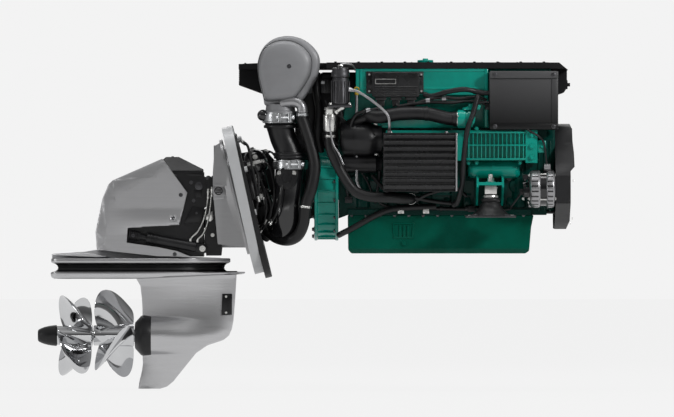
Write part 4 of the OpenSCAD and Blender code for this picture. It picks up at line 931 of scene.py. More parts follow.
def build_trim_pump(looks):
    """Pump for the trim rams, its valve block, and the lines that leave it."""
    bm = bmesh.new()
    lathe(bm, [(66, 0), (66, 38), (72, 44), (84, 46), (112, 46), (126, 44), (140, 38), (150, 28), (156, 14),
               (158, 0)],
          (48, -96, 0), "z", 40)
    lathe(bm, [(-72, 0), (-72, 26), (-66, 31), (-20, 32), (-18, 34), (-12, 34), (-10, 32), (60, 32), (66, 30),
               (66, 0)],
          (46, -96, 0), "z", 36)
    brick(bm, (-1.8, -130, -40), (30, -62, 120), 4)
    raked(bm)
    placed("trim_pump_body", bm, "gloss_black", ENGINE, "trim_pump", 40)
    bm = bmesh.new()
    band(bm, 98, 112, 46, 48.4, (48, -96, 0), "z", 40)
    band(bm, -46, -38, 32, 34, (46, -96, 0), "z", 40)
    for z in (-30, 8, 40):
        hex_bolt(bm, (34, -130, z), (0, -1, 0), 12, 7)
    hex_bolt(bm, (48, -96, 158), (0, 0, 1), 16, 8)
    hex_bolt(bm, (52, -138, 126), (0, -1, 0.3), 12, 8)
    raked(bm)
    placed("pump_straps", bm, "bright_zinc", ENGINE)
    lines = [
        ((24, -140, 60), (44, -176, 40), (64, -186, -40), (58, -176, -120), (30, -130, -150)),
        ((30, -132, 30), (56, -164, 10), (84, -190, -60), (74, -186, -120), (40, -140, -160)),
        ((48, -140, 118), (76, -176, 96), (96, -196, 20), (90, -196, -60), (60, -170, -130)),
        ((10, -136, 100), (30, -176, 70), (34, -190, 0), (26, -184, -80), (20, -150, -130)),
        ((60, -96, 160), (90, -120, 150), (118, -160, 100), (128, -236, 20), (110, -240, -80), (80, -200, -130)),
        ((-30, -170, 196), (-8, -196, 176), (6, -204, 110), (20, -206, 40), (36, -200, -40)),
    ]
    bm = bmesh.new()
    for n, line in enumerate(lines):
        tube(bm, line, 5.5 if n % 2 else 4.2, 10, 6)
    placed("hydraulic_lines", bm, "rubber", ENGINE)
    bm = bmesh.new()
    for line in lines:
        for end, nxt in ((line[0], line[1]), (line[-1], line[-2])):
            way = Vector(nxt) - Vector(end)
            lathe(bm, [(-3, 0), (-3, 7), (5, 8), (6, 6.6), (20, 6.6), (21, 0)], end, way, 12)
    placed("line_fittings", bm, "bright_zinc", ENGINE)


# Exhaust riser

RISER_Y = -170.0
DOME_EDGE = [(36, 440), (32, 470), (30, 502), (38, 540), (58, 576), (92, 603), (128, 614), (162, 615.5), (200, 607),
             (234, 588), (262, 560), (277, 528), (277, 492), (268, 452), (248, 415), (226, 382), (204, 356),
             (180, 344), (120, 338), (64, 338), (54, 366), (46, 400)]


def build_riser(looks):
    """Exhaust riser: dome, neck, spout, clamps, pipe and boot."""
    bm = bmesh.new()
    edge = soft_outline(DOME_EDGE + DOME_EDGE[:1], 3)[:-1]
    middle = Vector((158, 486))
    rings = []
    for share, y in ((0.3, -112), (0.85, -110), (0.97, -112), (1.0, -118), (1.0, -190), (0.99, -198), (0.96, -204),
                     (0.9, -208), (0.87, -208), (0.862, -199), (0.855, -199), (0.85, -222), (0.83, -232),
                     (0.79, -239), (0.72, -244), (0.6, -248.5), (0.4, -251.5), (0.12, -253)):
        shift = Vector((-15 * min(1.0, (1 - share) / 0.13), 0)) if y < -118 else Vector((0, 0))
        ring = [middle + shift + (p - middle) * share for p in edge]
        rings.append([bm.verts.new((p.x, y, p.y)) for p in ring])
    for low, high in zip(rings, rings[1:]):
        for k in range(len(edge)):
            n = (k + 1) % len(edge)
            bm.faces.new((low[k], low[n], high[n], high[k]))
    for ring in (rings[0], rings[-1]):
        bm.faces.new(ring)
    placed("riser_dome", bm, "riser_grey", ENGINE, "exhaust_elbow", 40)
    bm = bmesh.new()
    lathe(bm, [(344, 56), (330, 58), (318, 60), (316, 66), (311, 68), (290, 68), (284, 63), (270.5, 62), (270.2, 50)],
          (121, RISER_Y, 0), "z", 48)
    tube(bm, [(178, -118, 438), (225, -80, 426), (262, -10, 400), (280, 110, 372), (290, 194, 346), (304, 212, 340),
              (317, 212, 340), (329.8, 212, 340)], 34, 24, 5)
    placed("riser_neck", bm, "riser_grey", ENGINE, (), 45)
    bm = bmesh.new()
    tube(bm, [(128, RISER_Y - 40, 346), (150, RISER_Y - 49, 353), (178, RISER_Y - 54, 353), (199, RISER_Y - 54, 343),
              (207, RISER_Y - 54, 328), (208, RISER_Y - 54, 310)], 20.5, 24, 6)
    lathe(bm, [(318, 20), (318, 23), (313, 23.5), (309, 21)], (208, RISER_Y - 54, 0), "z", 28)
    placed("riser_spout", bm, "alloy", ENGINE, (), 45)
    bm = bmesh.new()
    clamp_band(bm, (121, RISER_Y, 290), 68.5, 40, 30)
    clamp_band(bm, (162, RISER_Y, 104), 66.6, 36, 24)
    hose_band(bm, (208, RISER_Y - 54, 302), (0, 0, 1), 23.4, 11)
    placed("riser_clamps", bm, "shaft_steel", ENGINE, "hose_clamps", 40)
    bm = bmesh.new()
    lathe(bm, [(-4, 0), (-4, 9), (1.6, 8.4), (2, 6.6), (0.6, 5.6), (0.6, 0)], (156, -252.6, 494), (0, -1, 0), 28)
    placed("dome_screw", bm, "dark_steel", ENGINE)
    bm = bmesh.new()
    tube(bm, [(121, RISER_Y, 270), (121, RISER_Y, 262), (122, RISER_Y, 250), (132, RISER_Y, 208), (150, RISER_Y, 168),
              (158, RISER_Y, 140), (162, RISER_Y, 120), (162, RISER_Y, 92)],
         lambda t: 64 - 11 * math.sin(math.pi * min(1.0, t * 1.12)) ** 1.4 - 4 * t, 40, 5)
    for z, r in ((256, 68), (146, 64), (134, 67)):
        lathe(bm, [(z - 7, r - 8), (z - 6, r - 2), (z - 3, r), (z + 3, r), (z + 6, r - 2), (z + 7, r - 8)],
              (123 + (255 - z) * 0.32, RISER_Y, 0), "z", 48)
    placed("riser_pipe", bm, "satin_black", ENGINE, "exhaust_pipe", 45)
    bm = bmesh.new()
    tube(bm, [(162, RISER_Y, 92), (161, RISER_Y, 60), (156, RISER_Y, 0), (150, RISER_Y, -70), (146, -160, -118),
              (136, -132, -146), (118, -84, -148), (94, -32, -132), (68, 0, -114), (54, 0, -110), (42, 0, -110)],
         lambda t: 61 - 9 * max(0.0, (t - 0.45) / 0.55), 40, 6)
    lathe(bm, [(-2, 44), (6, 44), (8, 42), (8, 36), (12, 35), (12, 20), (10, 18), (10, 0)], (146, -226, 50),
          (0, -1, 0), 40)
    for i in range(5):
        a = math.radians(175 + i * 47.5)
        hex_bolt(bm, (146 + 35 * math.cos(a), -233, 50 + 35 * math.sin(a)), (0, -1, 0), 9, 5)
    placed("exhaust_boot", bm, "gloss_black", ENGINE, "exhaust_hose", 45)
    bm = bmesh.new()
    for x in (118, 174):
        hex_bolt(bm, (x, -233, 70), (0, -1, 0), 12, 6)
    hose_band(bm, (221, -238, -64), (0.1, 0, 1), 23.3, 9)
    placed("boot_cover_bolts", bm, "bright_zinc", ENGINE)


def hose_band(bm, at, way, r, wide):
    """A worm-drive clamp round a hose."""
    band(bm, -wide / 2, wide / 2, r, r + 1.3, at, way, 32)
    out = Vector(way).normalized()
    aside = out.cross(Vector((0, 1, 0.01))).normalized()
    lathe(bm, [(-8, 0), (-8, 3.6), (8, 3.6), (9, 5), (13, 5), (13, 0)], Vector(at) + Vector((0, -r - 2, 0)) * 0.98,
          aside, 10)


def clamp_band(bm, at, r, wide, bolt):
    """A flat band clamp with a T-bolt across its lugs, on an upright pipe."""
    x, y, z = at
    h = wide / 2
    lathe(bm, [(-h, r), (-h, r + 2), (-h + 4, r + 2), (-h + 6, r + 5), (h - 6, r + 5), (h - 4, r + 2), (h, r + 2),
               (h, r)],
          at, "z", 56)
    for s in (-1, 1):
        band(bm, -h + 3, h - 3, 7, 9, (x + s * 20 + bolt * 0.6, y - r - 6, z), "z", 16)
    lathe(bm, [(-34, 0), (-34, 7), (-27, 7), (-27, 4), (30, 4), (30, 8), (38, 8), (38, 0)],
          (x + bolt * 0.6, y - r - 8, z), "x", 6)


def conduit_ribs(run):
    """How far a wiring conduit stands out at a point along its length."""
    return 1.1 * max(0.0, math.sin(run * 1.4))


def build_hoses(looks):
    """Water hoses, wiring conduits and the air pipe."""
    bm = bmesh.new()
    tube(bm, [(208, -224, 309), (208, -224, 298), (208, -224, 286), (220, -226, 250), (242, -228, 180),
              (259, -232, 100),
              (248, -238, 20), (222, -238, -60), (213, -222, -130), (190, -200, -178), (150, -172, -196),
              (104, -136, -186),
              (68, -98, -158), (54, -92, -150), (42, -92, -150)], 22.6, 24, 8)
    tube(bm, [(318, -262, 231), (318, -262, 196), (326, -266, 150), (366, -270, 70), (412, -272, 4), (470, -270, -22),
              (560, -262, -28), (628, -226, -32), (640, -196, -32), (640, -182, -32), (640, -166, -32)], 20.6, 24, 8)
    placed("water_hoses", bm, "rubber", ENGINE, "cooling_hoses", 60)
    bm = bmesh.new()
    tube(bm, [(905, -290, 380), (886, -304, 310), (862, -308, 240), (847, -296, 120), (842, -284, 30),
              (826, -240, -40),
              (812, -196, -54), (812, -182, -54), (812, -168, -54)], 10, 14, 40, conduit_ribs)
    tube(bm, [(691, -224, 384), (722, -240, 376), (782, -262, 392), (850, -268, 402), (906, -250, 392),
              (926, -242, 388),
              (938, -242, 388), (950, -242, 388)], 10, 14, 30, conduit_ribs)
    placed("wiring_conduits", bm, "moulded_black", ENGINE, (), 60)
    bm = bmesh.new()
    tube(bm, [(856, -258, 285), (822, -258, 285), (780, -261, 288), (700, -268, 306), (600, -268, 306),
              (520, -262, 294), (476, -236, 298), (464, -190, 300), (464, -122, 300)], 26.8, 36, 8)
    for at, way in (((812, -259, 285), (1, 0, 0)), ((700, -268, 306), (1, 0, 0.1)), ((464, -140, 300), (0, 1, 0))):
        lathe(bm, [(-9, 26), (-8, 29), (8, 29), (9, 26)], at, way, 36)
    placed("charge_air_pipe", bm, "moulded_black", ENGINE, "air_pipe", 45)
    bm = bmesh.new()
    hose_band(bm, (319, -262, 216), (0, 0, 1), 21.2, 9)
    hose_band(bm, (826, -258, 285), (1, 0, 0), 29, 9)
    hose_band(bm, (640, -188, -32), (0, 1, 0), 21.2, 9)
    placed("hose_bands", bm, "bright_zinc", ENGINE)


# Engine

def build_bell(looks):
    """Flywheel housing with its ribs and bolts."""
    bm = bmesh.new()
    lathe(bm, [(255, 40), (255, 150), (256, 196), (258, 198), (266, 198), (268, 196), (270, 190), (300, 186),
               (338, 188),
               (339, 196), (341, 198), (350, 198), (351.5, 196), (351.5, 150)], steps=72)
    for i in range(24):
        swung(bm, brick(bm, (268, -3, 182), (340, 3, 194), 1.2, 1), math.tau * i / 24, "X")
    for a in (200, 222, 250, 290, 318, 340):
        swung(bm, brick(bm, (276, -16, 184), (322, 16, 197), 4, 3), math.radians(a), "X")
    placed("bell_housing", bm, "engine_green", ENGINE, "flywheel_housing", 38)
    bm = bmesh.new()
    for c, s in turns(16):
        hex_bolt(bm, (255, 184 * c, 184 * s), (-1, 0, 0), 13, 8)
        hex_bolt(bm, (339, 190 * c, 190 * s), (-1, 0, 0), 11, 6)
    placed("bell_bolts", bm, "dark_steel", ENGINE)


def build_block(looks):
    """Cylinder block, head and sump with their ribs, covers and bolts."""
    for node, bevel, steps in (("cylinder_block", 2.5, 2), ("cylinder_head", 3.0, 3), ("oil_sump", 4.0, 3)):
        dressed(node, bevel, steps)
    bm = bmesh.new()
    for side in (-1, 1):
        for i in range(9):
            x = 410 + i * 84
            low, high = flank(side, 148, 162)
            brick(bm, (x, low, 70), (x + 8, high, 112), 2)
            slab(bm, [(x + 20, -58), (x + 52, -58), (x + 46, -26), (x + 26, -26)], low, high, "y", 3)
        low, high = flank(side, 149, 158)
        brick(bm, (390, low, 118), (1150, high, 128), 2)
        brick(bm, (390, low, -18), (880, high, -10), 2)
        for x in (560, 690, 1060):
            lathe(bm, [(148, 30), (156, 30), (160, 26), (160, 8), (163, 6), (163, 0)], (x, 0, 20), (0, side, 0), 28)
    placed("block_ribs", bm, "deep_green", ENGINE)
    bm = bmesh.new()
    lathe(bm, [(866, 0), (866, 24), (874, 33), (890, 36), (1050, 36), (1066, 33), (1073, 24), (1073, 0)],
          (0, -176, 86), "x", 32)
    band(bm, 960, 972, 36, 39, (0, -176, 86), "x", 32)
    placed("water_rail", bm, "engine_green", ENGINE, (), 50)
    bm = bmesh.new()
    slab(bm, [(-152, -66), (-120, -86), (120, -86), (152, -66), (152, 210), (110, 262), (-110, 262), (-152, 210)],
         1140, 1214, "x", 8, 3)
    for x in (1146, 1168, 1190):
        brick(bm, (x, -156, -80), (x + 8, -148, 200), 2)
    placed("timing_cover", bm, "deep_green", ENGINE, (), 40)
    bm = bmesh.new()
    for side in (-1, 1):
        for i in range(13):
            hex_bolt(bm, (404 + i * 57, side * 168, -96.4), (0, 0, -1), 10, 6)
            if i % 2:
                hex_bolt(bm, (404 + i * 57, side * 160, 49), (0, side, 0), 11, 6)
    placed("sump_bolts", bm, "dark_steel", ENGINE)
    bm = bmesh.new()
    slab(bm, [(566, -126), (654, -126), (650, -190), (570, -190)], -171.5, -166, "y", 2)
    front = min(bm.faces, key=lambda f: (f.calc_center_median().y, -f.calc_area()))
    bmesh.ops.inset_region(bm, faces=[front], thickness=7, depth=0)
    bmesh.ops.inset_region(bm, faces=[front], thickness=2, depth=-3.4)
    for x in (592, 608, 624):
        brick(bm, (x, -172.5, -184), (x + 9, -167, -136), 2)
    hex_bolt(bm, (612, -168, -208), (0, -1, 0), 17, 5)
    placed("sump_drain_panel", bm, "sump_green", ENGINE)
    bm = bmesh.new()
    for i in range(6):
        x = 470 + i * 80
        lathe(bm, [(0, 20), (4, 20), (6, 18), (6, 0)], (x, 60, 487), (0, 0, 1), 24)
    slab(bm, [(932, -208), (946, -208), (946, -172), (932, -172)], 252, 486, "z", 3)
    brick(bm, (436, -208.5, 474), (932, -206, 485), 1)
    brick(bm, (436, -208.5, 402), (932, -206, 412), 1)
    brick(bm, (436, -209, 404), (446, -206, 484), 1)
    placed("head_edges", bm, "engine_green", ENGINE)


def build_top_cover(looks):
    """Black top cover with its bolts, ribs and lifting eyes."""
    dressed("top_cover", 1.6)
    bm = bmesh.new()
    for i in range(10):
        hex_bolt(bm, (340 + i * 92, -196, 510), (0, 0, 1), 9, 2.6, False)
    for x in (-20, 60):
        hex_bolt(bm, (x, -70, 507), (0, 0, 1), 9, 3, False)
    placed("cover_bolts", bm, "dark_steel", ENGINE)
    bm = bmesh.new()
    for i in range(11):
        brick(bm, (430 + i * 70, -150, 509.6), (436 + i * 70, 120, 513), 1, 1)
    for y in (-110, -40, 30, 100):
        brick(bm, (420, y, 509.6), (1190, y + 5, 512.6), 1, 1)
    placed("cover_ribs", bm, "matte_black", ENGINE)
    bm = bmesh.new()
    for x in (470, 1140):
        slab(bm, [(x - 18, 470), (x + 18, 470), (x + 14, 512), (x - 14, 512)], 140, 152, "y", 2)
    lathe(bm, [(0, 30), (3, 32), (12, 32), (14, 30), (14, 12), (20, 10), (20, 0)], (700, 60, 511), "z", 36)
    placed("lifting_eyes", bm, "engine_green", ENGINE)


def build_manifold(looks):
    """Intake manifold with its bosses and bolts."""
    dressed("intake_manifold", 1.6)
    bm = bmesh.new()
    lathe(bm, [(-36, 34), (-34, 36), (-6, 36), (-4, 34), (4, 34), (6, 38), (14, 38), (16, 34)], (860, -258, 285), "x",
          36)
    lathe(bm, [(0, 26), (8, 26), (10, 22), (10, 10), (14, 9), (14, 0)], (868, -258, 320), (0, 0, 1), 28)
    slab(bm, [(884, 318), (912, 322), (918, 338), (900, 346), (882, 336)], -262, -232, "y", 4)
    for z in (126, 232):
        brick(bm, (861, -252, z - 4), (1096, -230, z + 4), 2)
    for z in (132, 176, 222):
        lathe(bm, [(-252, 11), (-256, 10), (-257, 8), (-257, 0)], (1118, 0, z), "y", 20)
    brick(bm, (1141, -240, 150), (1176, -200, 200), 6)
    tube(bm, [(1118, -232, 240), (1124, -236, 262), (1142, -240, 276), (1168, -236, 286), (1190, -216, 290)], 12, 16,
         6)
    placed("manifold_bosses", bm, "engine_green", ENGINE)
    bm = bmesh.new()
    for z in (132, 176, 222):
        hex_bolt(bm, (1118, -257, z), (0, -1, 0), 12, 6)
    for x in (868, 900, 1072):
        for z in (112, 246):
            hex_bolt(bm, (x, -230, z), (0, -1, 0), 10, 5)
    hex_bolt(bm, (874, -258, 334), (0, 0, 1), 15, 9)
    hex_bolt(bm, (1160, -240, 176), (0, -1, 0), 12, 7)
    placed("manifold_bolts", bm, "engine_green", ENGINE)


def build_cooler(looks):
    """Charge cooler: a ribbed black face in a thin frame, with a bright forward edge."""
    x0, x1, z0, z1 = 526, 822, -3, 230
    bm = bmesh.new()
    brick(bm, (x0 + 2, -306, z0 + 2), (x1 - 6, -231, z1 - 2), 4, 2)
    count = looks.cooler_ribs
    step = (z1 - z0 - 8) / count
    for i in range(count):
        z = z0 + 4 + (i + 0.5) * step
        new = brick(bm, (x0 + 4, -325, z - step * 0.33), (x1 - 8, -304, z + step * 0.33), 3.5, 3)
        for v in new:
            if v.co.y < -310 and v.co.z < z - 2:
                v.co.y += 9
    brick(bm, (x0 + 2, -316, z1 - 4), (x1 - 4, -240, z1 - 0.5), 1.2)
    brick(bm, (x0 + 2, -316, z0 + 0.5), (x1 - 4, -240, z0 + 4), 1.2)
    for z in (40, 190):
        brick(bm, (x0 - 0.5, -290, z - 14), (x0 + 6, -250, z + 14), 2)
    placed("charge_cooler_ribs", bm, "cooler_black", ENGINE, "charge_cooler")
    bm = bmesh.new()
    slab(bm, [(x1 - 6.5, z0), (x1, z0 + 2), (x1, z1 - 2), (x1 - 6.5, z1)], -326, -240, "y", 1.2)
    for x in (560, 780):
        hex_bolt(bm, (x, -268, 230), (0, 0, 1), 10, 5)
    placed("cooler_edge", bm, "alloy", ENGINE)


def build_control_unit(looks):
    """Control unit: a finned box with a bare label frame."""
    bm = bmesh.new()
    brick(bm, (462, -212, 386), (690, -206.2, 474), 2)
    slab(bm, [(490, 372), (484, 380), (484, 468), (490, 471), (668, 471), (674, 468), (674, 380), (668, 372)],
         -240, -211, "y", 3, 3)
    for i in range(6):
        brick(bm, (494, -242.5, 376 + i * 7), (664, -238, 379.4 + i * 7), 1, 1)
    for i in range(8):
        brick(bm, (494, -242, 448 + i * 2.7), (664, -239, 449.6 + i * 2.7), 0.5, 1)
    for x in (474, 681):
        for z in (396, 430, 462):
            lathe(bm, [(-211, 8), (-216, 7.4), (-217, 6), (-217, 0)], (x, 0, z), "y", 20)
    for x in (520, 580, 640):
        brick(bm, (x - 22, -236, 360), (x + 22, -214, 374), 3)
        brick(bm, (x - 16, -232, 350), (x + 16, -218, 361), 3)
    placed("control_box", bm, "cooler_black", ENGINE, "control_unit")
    bm = bmesh.new()
    for x0, z0, x1, z1 in ((498, 424, 580, 426), (498, 442, 580, 444), (498, 426, 500, 442), (578, 426, 580, 442)):
        brick(bm, (x0, -241.6, z0), (x1, -239.6, z1))
    for x in (474, 681):
        for z in (396, 462):
            hex_bolt(bm, (x, -216, z), (0, -1, 0), 8, 3, False, True)
    placed("control_box_trim", bm, "bright_zinc", ENGINE)


def build_service_cover(looks):
    """Large black cover at the fore end, with its screws."""
    bm = bmesh.new()
    slab(bm, [(953, 242), (1221, 242), (1223, 246), (1223, 470), (1219, 475), (953, 475), (951, 470), (951, 246)],
         -262, -166.1, "y", 3, 3)
    slab(bm, [(951, 446), (1223, 446), (1223, 474), (951, 474)], -271, -258, "y", 3, 2)
    slab(bm, [(951, 243), (1223, 243), (1223, 268), (951, 268)], -267, -258, "y", 3, 2)
    brick(bm, (1196, -265, 268), (1221, -256, 446), 2)
    placed("service_cover_panel", bm, "panel_black", ENGINE, "service_cover")
    bm = bmesh.new()
    for x in (972, 1204):
        for z, y in ((255, -267), (460, -271)):
            lathe(bm, [(y, 9), (y - 2, 9), (y - 3, 7), (y - 3, 0)], (x, 0, z), "y", 20)
            hex_bolt(bm, (x, y - 2, z), (0, -1, 0), 9, 2.6, False, True)
    placed("service_cover_screws", bm, "dark_steel", ENGINE)


def build_filter(looks):
    """Fuel filter group: canister, base plate, water separator and its thin pipes."""
    bm = bmesh.new()
    lathe(bm, [(343, 20), (343, 31), (346, 34), (440, 34), (444, 31), (448, 31), (452, 37), (470, 37), (474, 34),
               (486, 33), (488, 28), (488, 10), (496, 9), (496, 0)], (360, -268, 0), "z", 40)
    for i in range(18):
        swung(bm, brick(bm, (34, -2.2, 350), (37.5, 2.2, 436), 1, 1), math.tau * i / 18, "Z", (360, -268, 0))
    slab(bm, [(312, -300), (404, -300), (406, -296), (406, -210), (398, -206), (318, -206), (312, -212)], 330, 342,
         "z", 2)
    slab(bm, [(334, 342), (366, 342), (372, 394), (360, 480), (334, 480)], -238, -196, "y", 3)
    brick(bm, (332, -240, 346), (391, -120.2, 394), 4)
    placed("filter_housing", bm, "dark_steel", ENGINE, "fuel_filter", 40)
    bm = bmesh.new()
    lathe(bm, [(331, 12), (331, 22), (322, 24), (316, 20), (302, 20), (300, 26), (294, 27), (240, 25), (234, 22),
               (232.2, 18), (232.2, 0)], (318, -262, 0), "z", 36)
    lathe(bm, [(0, 13), (8, 13), (10, 9), (26, 9), (28, 12), (40, 12), (40, 0)], (340, -276, 312), (0.7, -0.2, 0.5),
          6)
    placed("separator_bowl", bm, "bright_zinc", ENGINE, (), 40)
    bm = bmesh.new()
    tube(bm, [(395, -290, 400), (430, -296, 392), (500, -308, 345), (546, -312, 300), (553, -309, 262),
              (553, -291, 238), (553, -289, 231)], 5.6, 14, 8)
    tube(bm, [(318, -292.6, 292), (318, -292.8, 250), (332, -293, 185), (352, -297, 150), (372, -301, 104)], 3.6, 12,
         8)
    tube(bm, [(360, -268, 488), (360, -268, 498), (376, -262, 504), (404, -240, 500), (416, -216, 486),
              (418, -206, 480)], 4, 12, 6)
    lathe(bm, [(0, 9), (12, 9), (13, 7), (22, 7)], (393, -289, 401), (0.96, -0.1, -0.2), 6)
    lathe(bm, [(0, 8), (10, 8), (11, 6), (14, 6)], (553, -289, 229), (0, 0, 1), 6)
    tube(bm, [(424, -216, 384), (424, -216, 240), (424, -216, 62), (426, -214, 36), (440, -200, 6), (450, -184, -6),
              (452, -176, -8), (452, -167, -8)], 6.2, 12, 5)
    placed("metal_pipes", bm, "alloy", ENGINE, "dipstick_tube", 45)
    bm = bmesh.new()
    hex_bolt(bm, (360, -268, 494), (0, 0, 1), 16, 6)
    for x, y in ((320, -292), (396, -290), (396, -216)):
        hex_bolt(bm, (x, y, 342), (0, 0, 1), 10, 6)
    for z in (362, 380):
        hex_bolt(bm, (378, -240, z), (0, -1, 0), 10, 6)
    placed("filter_bolts", bm, "bright_zinc", ENGINE)
    bm = bmesh.new()
    lathe(bm, [(386, 4), (380.4, 7.6), (381, 8.2), (390, 8.2), (393, 5), (393, 0)], (424, -216, 0), "z", 24)
    ring = [math.tau * i / 16 for i in range(17)]
    tube(bm, [(424 + 9 * math.cos(a), -216, 402 + 9 * math.sin(a)) for a in ring], 2.9, 12, 2)
    rod(bm, 91, 386, 3, (424, -216, 0), "z", 10)
    placed("dipstick_handle", bm, "yellow", BODY_OF["dipstick"], "dipstick", 50)


def build_front_end(looks):
    """Belt guard, pulleys and alternator."""
    dressed("belt_guard", 5.0, 3)
    dressed("drive_belt", 0.8)
    bm = bmesh.new()
    lathe(bm, [(1223, 70), (1223, 74.6), (1226, 74.6), (1226, 69), (1250, 69), (1250, 74.6), (1253, 74.6), (1253, 64),
               (1244, 60), (1244, 24), (1254, 22), (1254, 0)], steps=64)
    hex_bolt(bm, (1253, 0, 0), (1, 0, 0), 30, 10)
    placed("crank_pulley_face", bm, "dark_steel", "crank")
    bm = bmesh.new()
    y, z = -236, 8
    for x0, x1 in ((1108, 1154), (1172, 1211)):
        lathe(bm, [(x0, 10.5), (x0, 60), (x0 + 4, 68), (x0 + 12, 74), (x1 - 10, 74), (x1 - 4, 72), (x1, 66),
                   (x1, 52)],
              (0, y, z), "x", 64)
    brick(bm, (1168, -236, 58), (1192, -150.2, 98), 5)
    brick(bm, (1106, -196, -66), (1132, -150.2, -40), 5)
    lathe(bm, [(0, 16), (24, 16), (26, 13), (26, 0)], (1168, -236, 92), (1, 0, 0), 24)
    placed("alternator_body", bm, "alloy", ENGINE, "alternator", 40)
    bm = bmesh.new()
    band(bm, 1150, 1176, 40, 68, (0, y, z), "x", 48)
    for x0, x1 in ((1117, 1145), (1180, 1203)):
        for i in range(22):
            swung(bm, brick(bm, (x0, -4, 62), (x1, 4, 75), 2.5, 2), math.tau * i / 22, "X", (0, y, z))
    lathe(bm, [(1109, 20), (1109, 40), (1102, 42), (1096, 36), (1084, 34), (1084, 0)], (0, y, z), "x", 32)
    brick(bm, (1086, -296, -26), (1110, -258, 14), 4)
    lathe(bm, [(0, 12), (16, 12), (18, 10), (18, 0)], (1092, -268, 52), (0, -1, 0.2), 20)
    placed("alternator_slots", bm, "gloss_black", ENGINE)
    bm = bmesh.new()
    for c, s in turns(4, 0.4):
        rod(bm, 1150, 1176, 3.4, (0, y + 71 * c, z + 71 * s), "x", 12)
        hex_bolt(bm, (1109, y + 66 * c, z + 66 * s), (-1, 0, 0), 9, 5)
        hex_bolt(bm, (1210, y + 66 * c, z + 66 * s), (1, 0, 0), 9, 4)
    hex_bolt(bm, (1088, -262, -30), (-1, 0, 0), 11, 8)
    hex_bolt(bm, (1180, -236, 96), (0, 0, 1), 14, 10)
    for y, z in ((-150, -110), (-60, 250), (90, 250), (100, -130), (-264, 40)):
        hex_bolt(bm, (1280, y, z), (1, 0, 0), 9, 2, False, True)
    placed("alternator_bolts", bm, "bright_zinc", ENGINE)


def build_feet(looks):
    """Rubber engine feet under green brackets."""
    dressed("mount_brackets", 2.0)
    for side, word in SIDES:
        y = side * 320
        foot = (954, y, 0)
        bm = bmesh.new()
        lathe(bm, [(-12, 0), (-14, 26), (-26, 30), (-30, 36), (-34, 39), (-40, 38), (-44, 34), (-48, 36), (-54, 41),
                   (-60, 43),
                   (-66, 46), (-74, 52), (-84, 62), (-92, 72), (-96, 76), (-98, 40)], foot, "z", 48)
        placed("foot_rubber_" + word, bm, "rubber", ENGINE, "mount_cushions" if side < 0 else (), 60)
        bm = bmesh.new()
        slab(bm, [(-100, -40), (-92, -48), (92, -48), (100, -40), (100, 40), (92, 48), (-92, 48), (-100, 40)], -106,
             -97, "z", 2)
        bmesh.ops.translate(bm, verts=bm.verts, vec=foot)
        lathe(bm, [(-97, 90), (-94, 86), (-92, 74), (-90, 60)], foot, "z", 48)
        for v in bm.verts:
            if abs(v.co.y - y) > 47.5:
                v.co.y = y + math.copysign(47.5, v.co.y - y)
        placed("foot_plate_" + word, bm, "dark_steel", ENGINE, (), 40)
        bm = bmesh.new()
        slab(bm, [(930, y - 24), (978, y - 24), (978, y + 24), (930, y + 24)], -13, 21.6, "z", 2)
        lathe(bm, [(-28, 0), (-28, 30), (-24, 32), (-18, 30), (-14, 22), (-14, 0)], foot, "z", 36)
        lathe(bm, [(34.3, 0), (34.3, 19), (37, 19.4), (37, 0)], foot, "z", 28)
        rod(bm, 37, 50, 14, foot, "z", 6)
        lathe(bm, [(50, 0), (50, 9.6), (64, 9.4), (66, 7), (66, 0)], foot, "z", 20)
        for i in (-1, 1):
            for k in (-1, 1):
                band(bm, -97, -95.4, 7, 12, (954 + i * 80, y + k * 28, 0), "z", 20)
        placed("foot_nuts_" + word, bm, "bright_zinc", ENGINE)


def build_wiring(looks):
    """Looms, plugs and clips along the starboard side."""
    routes = [
        ((520, -226, 352), (516, -240, 330), (470, -250, 318), (420, -246, 300), (396, -234, 240), (392, -214, 150),
         (380, -186, 60), (392, -172, -40)),
        ((580, -226, 352), (590, -246, 336), (640, -250, 344), (720, -246, 352), (800, -240, 350), (860, -226, 356),
         (920, -214, 352), (950, -206, 330)),
        ((640, -226, 352), (644, -244, 340), (700, -248, 360), (760, -244, 372), (830, -232, 366), (900, -222, 372),
         (940, -212, 360)),
        ((420, -170, 200), (470, -196, 190), (510, -200, 150), (514, -190, 60), (508, -176, -30), (560, -174, -66),
         (700, -176, -70), (880, -172, -74)),
        ((300, -214, 360), (322, -206, 320), (366, -200, 290), (400, -196, 240), (420, -190, 120), (470, -180, 30),
         (500, -176, -50)),
        ((1080, -262, -4), (1060, -250, -30), (1040, -214, -60), (1020, -180, -74), (880, -172, -70)),
        ((1096, -262, 250), (1110, -264, 236), (1140, -262, 220), (1166, -250, 190), (1176, -240, 120),
         (1180, -236, 104)),
        ((880, -300, 300), (896, -292, 340), (930, -262, 352), (950, -250, 350)),
    ]
    bm = bmesh.new()
    for n, route in enumerate(routes):
        tube(bm, route, 6.5 if n < 4 else 4.5, 12, 6)
    placed("wiring_looms", bm, "rubber", ENGINE, (), 60)
    bm = bmesh.new()
    for x, y, z in ((520, -226, 346), (580, -226, 346), (640, -226, 346), (392, -180, -36), (948, -206, 334),
                    (880, -174, -72), (424, -176, 200), (1084, -262, -4)):
        brick(bm, (x - 15, y - 11, z - 12), (x + 15, y + 11, z + 12), 3)
        brick(bm, (x - 8, y - 13, z - 5), (x + 8, y - 9, z + 5), 1)
    for x in (600, 760, 860):
        band(bm, -5, 5, 8, 10, (x, -175, -70), "x", 20)
    placed("wiring_plugs", bm, "moulded_black", ENGINE)
    bm = bmesh.new()
    for x, y, z in ((770, -244, 366), (470, -250, 318), (706, -247, 357)):
        band(bm, -8, 8, 9, 11, (x, y, z), (1, 0, 0.1), 20)
    placed("loom_ties", bm, "alloy", ENGINE)


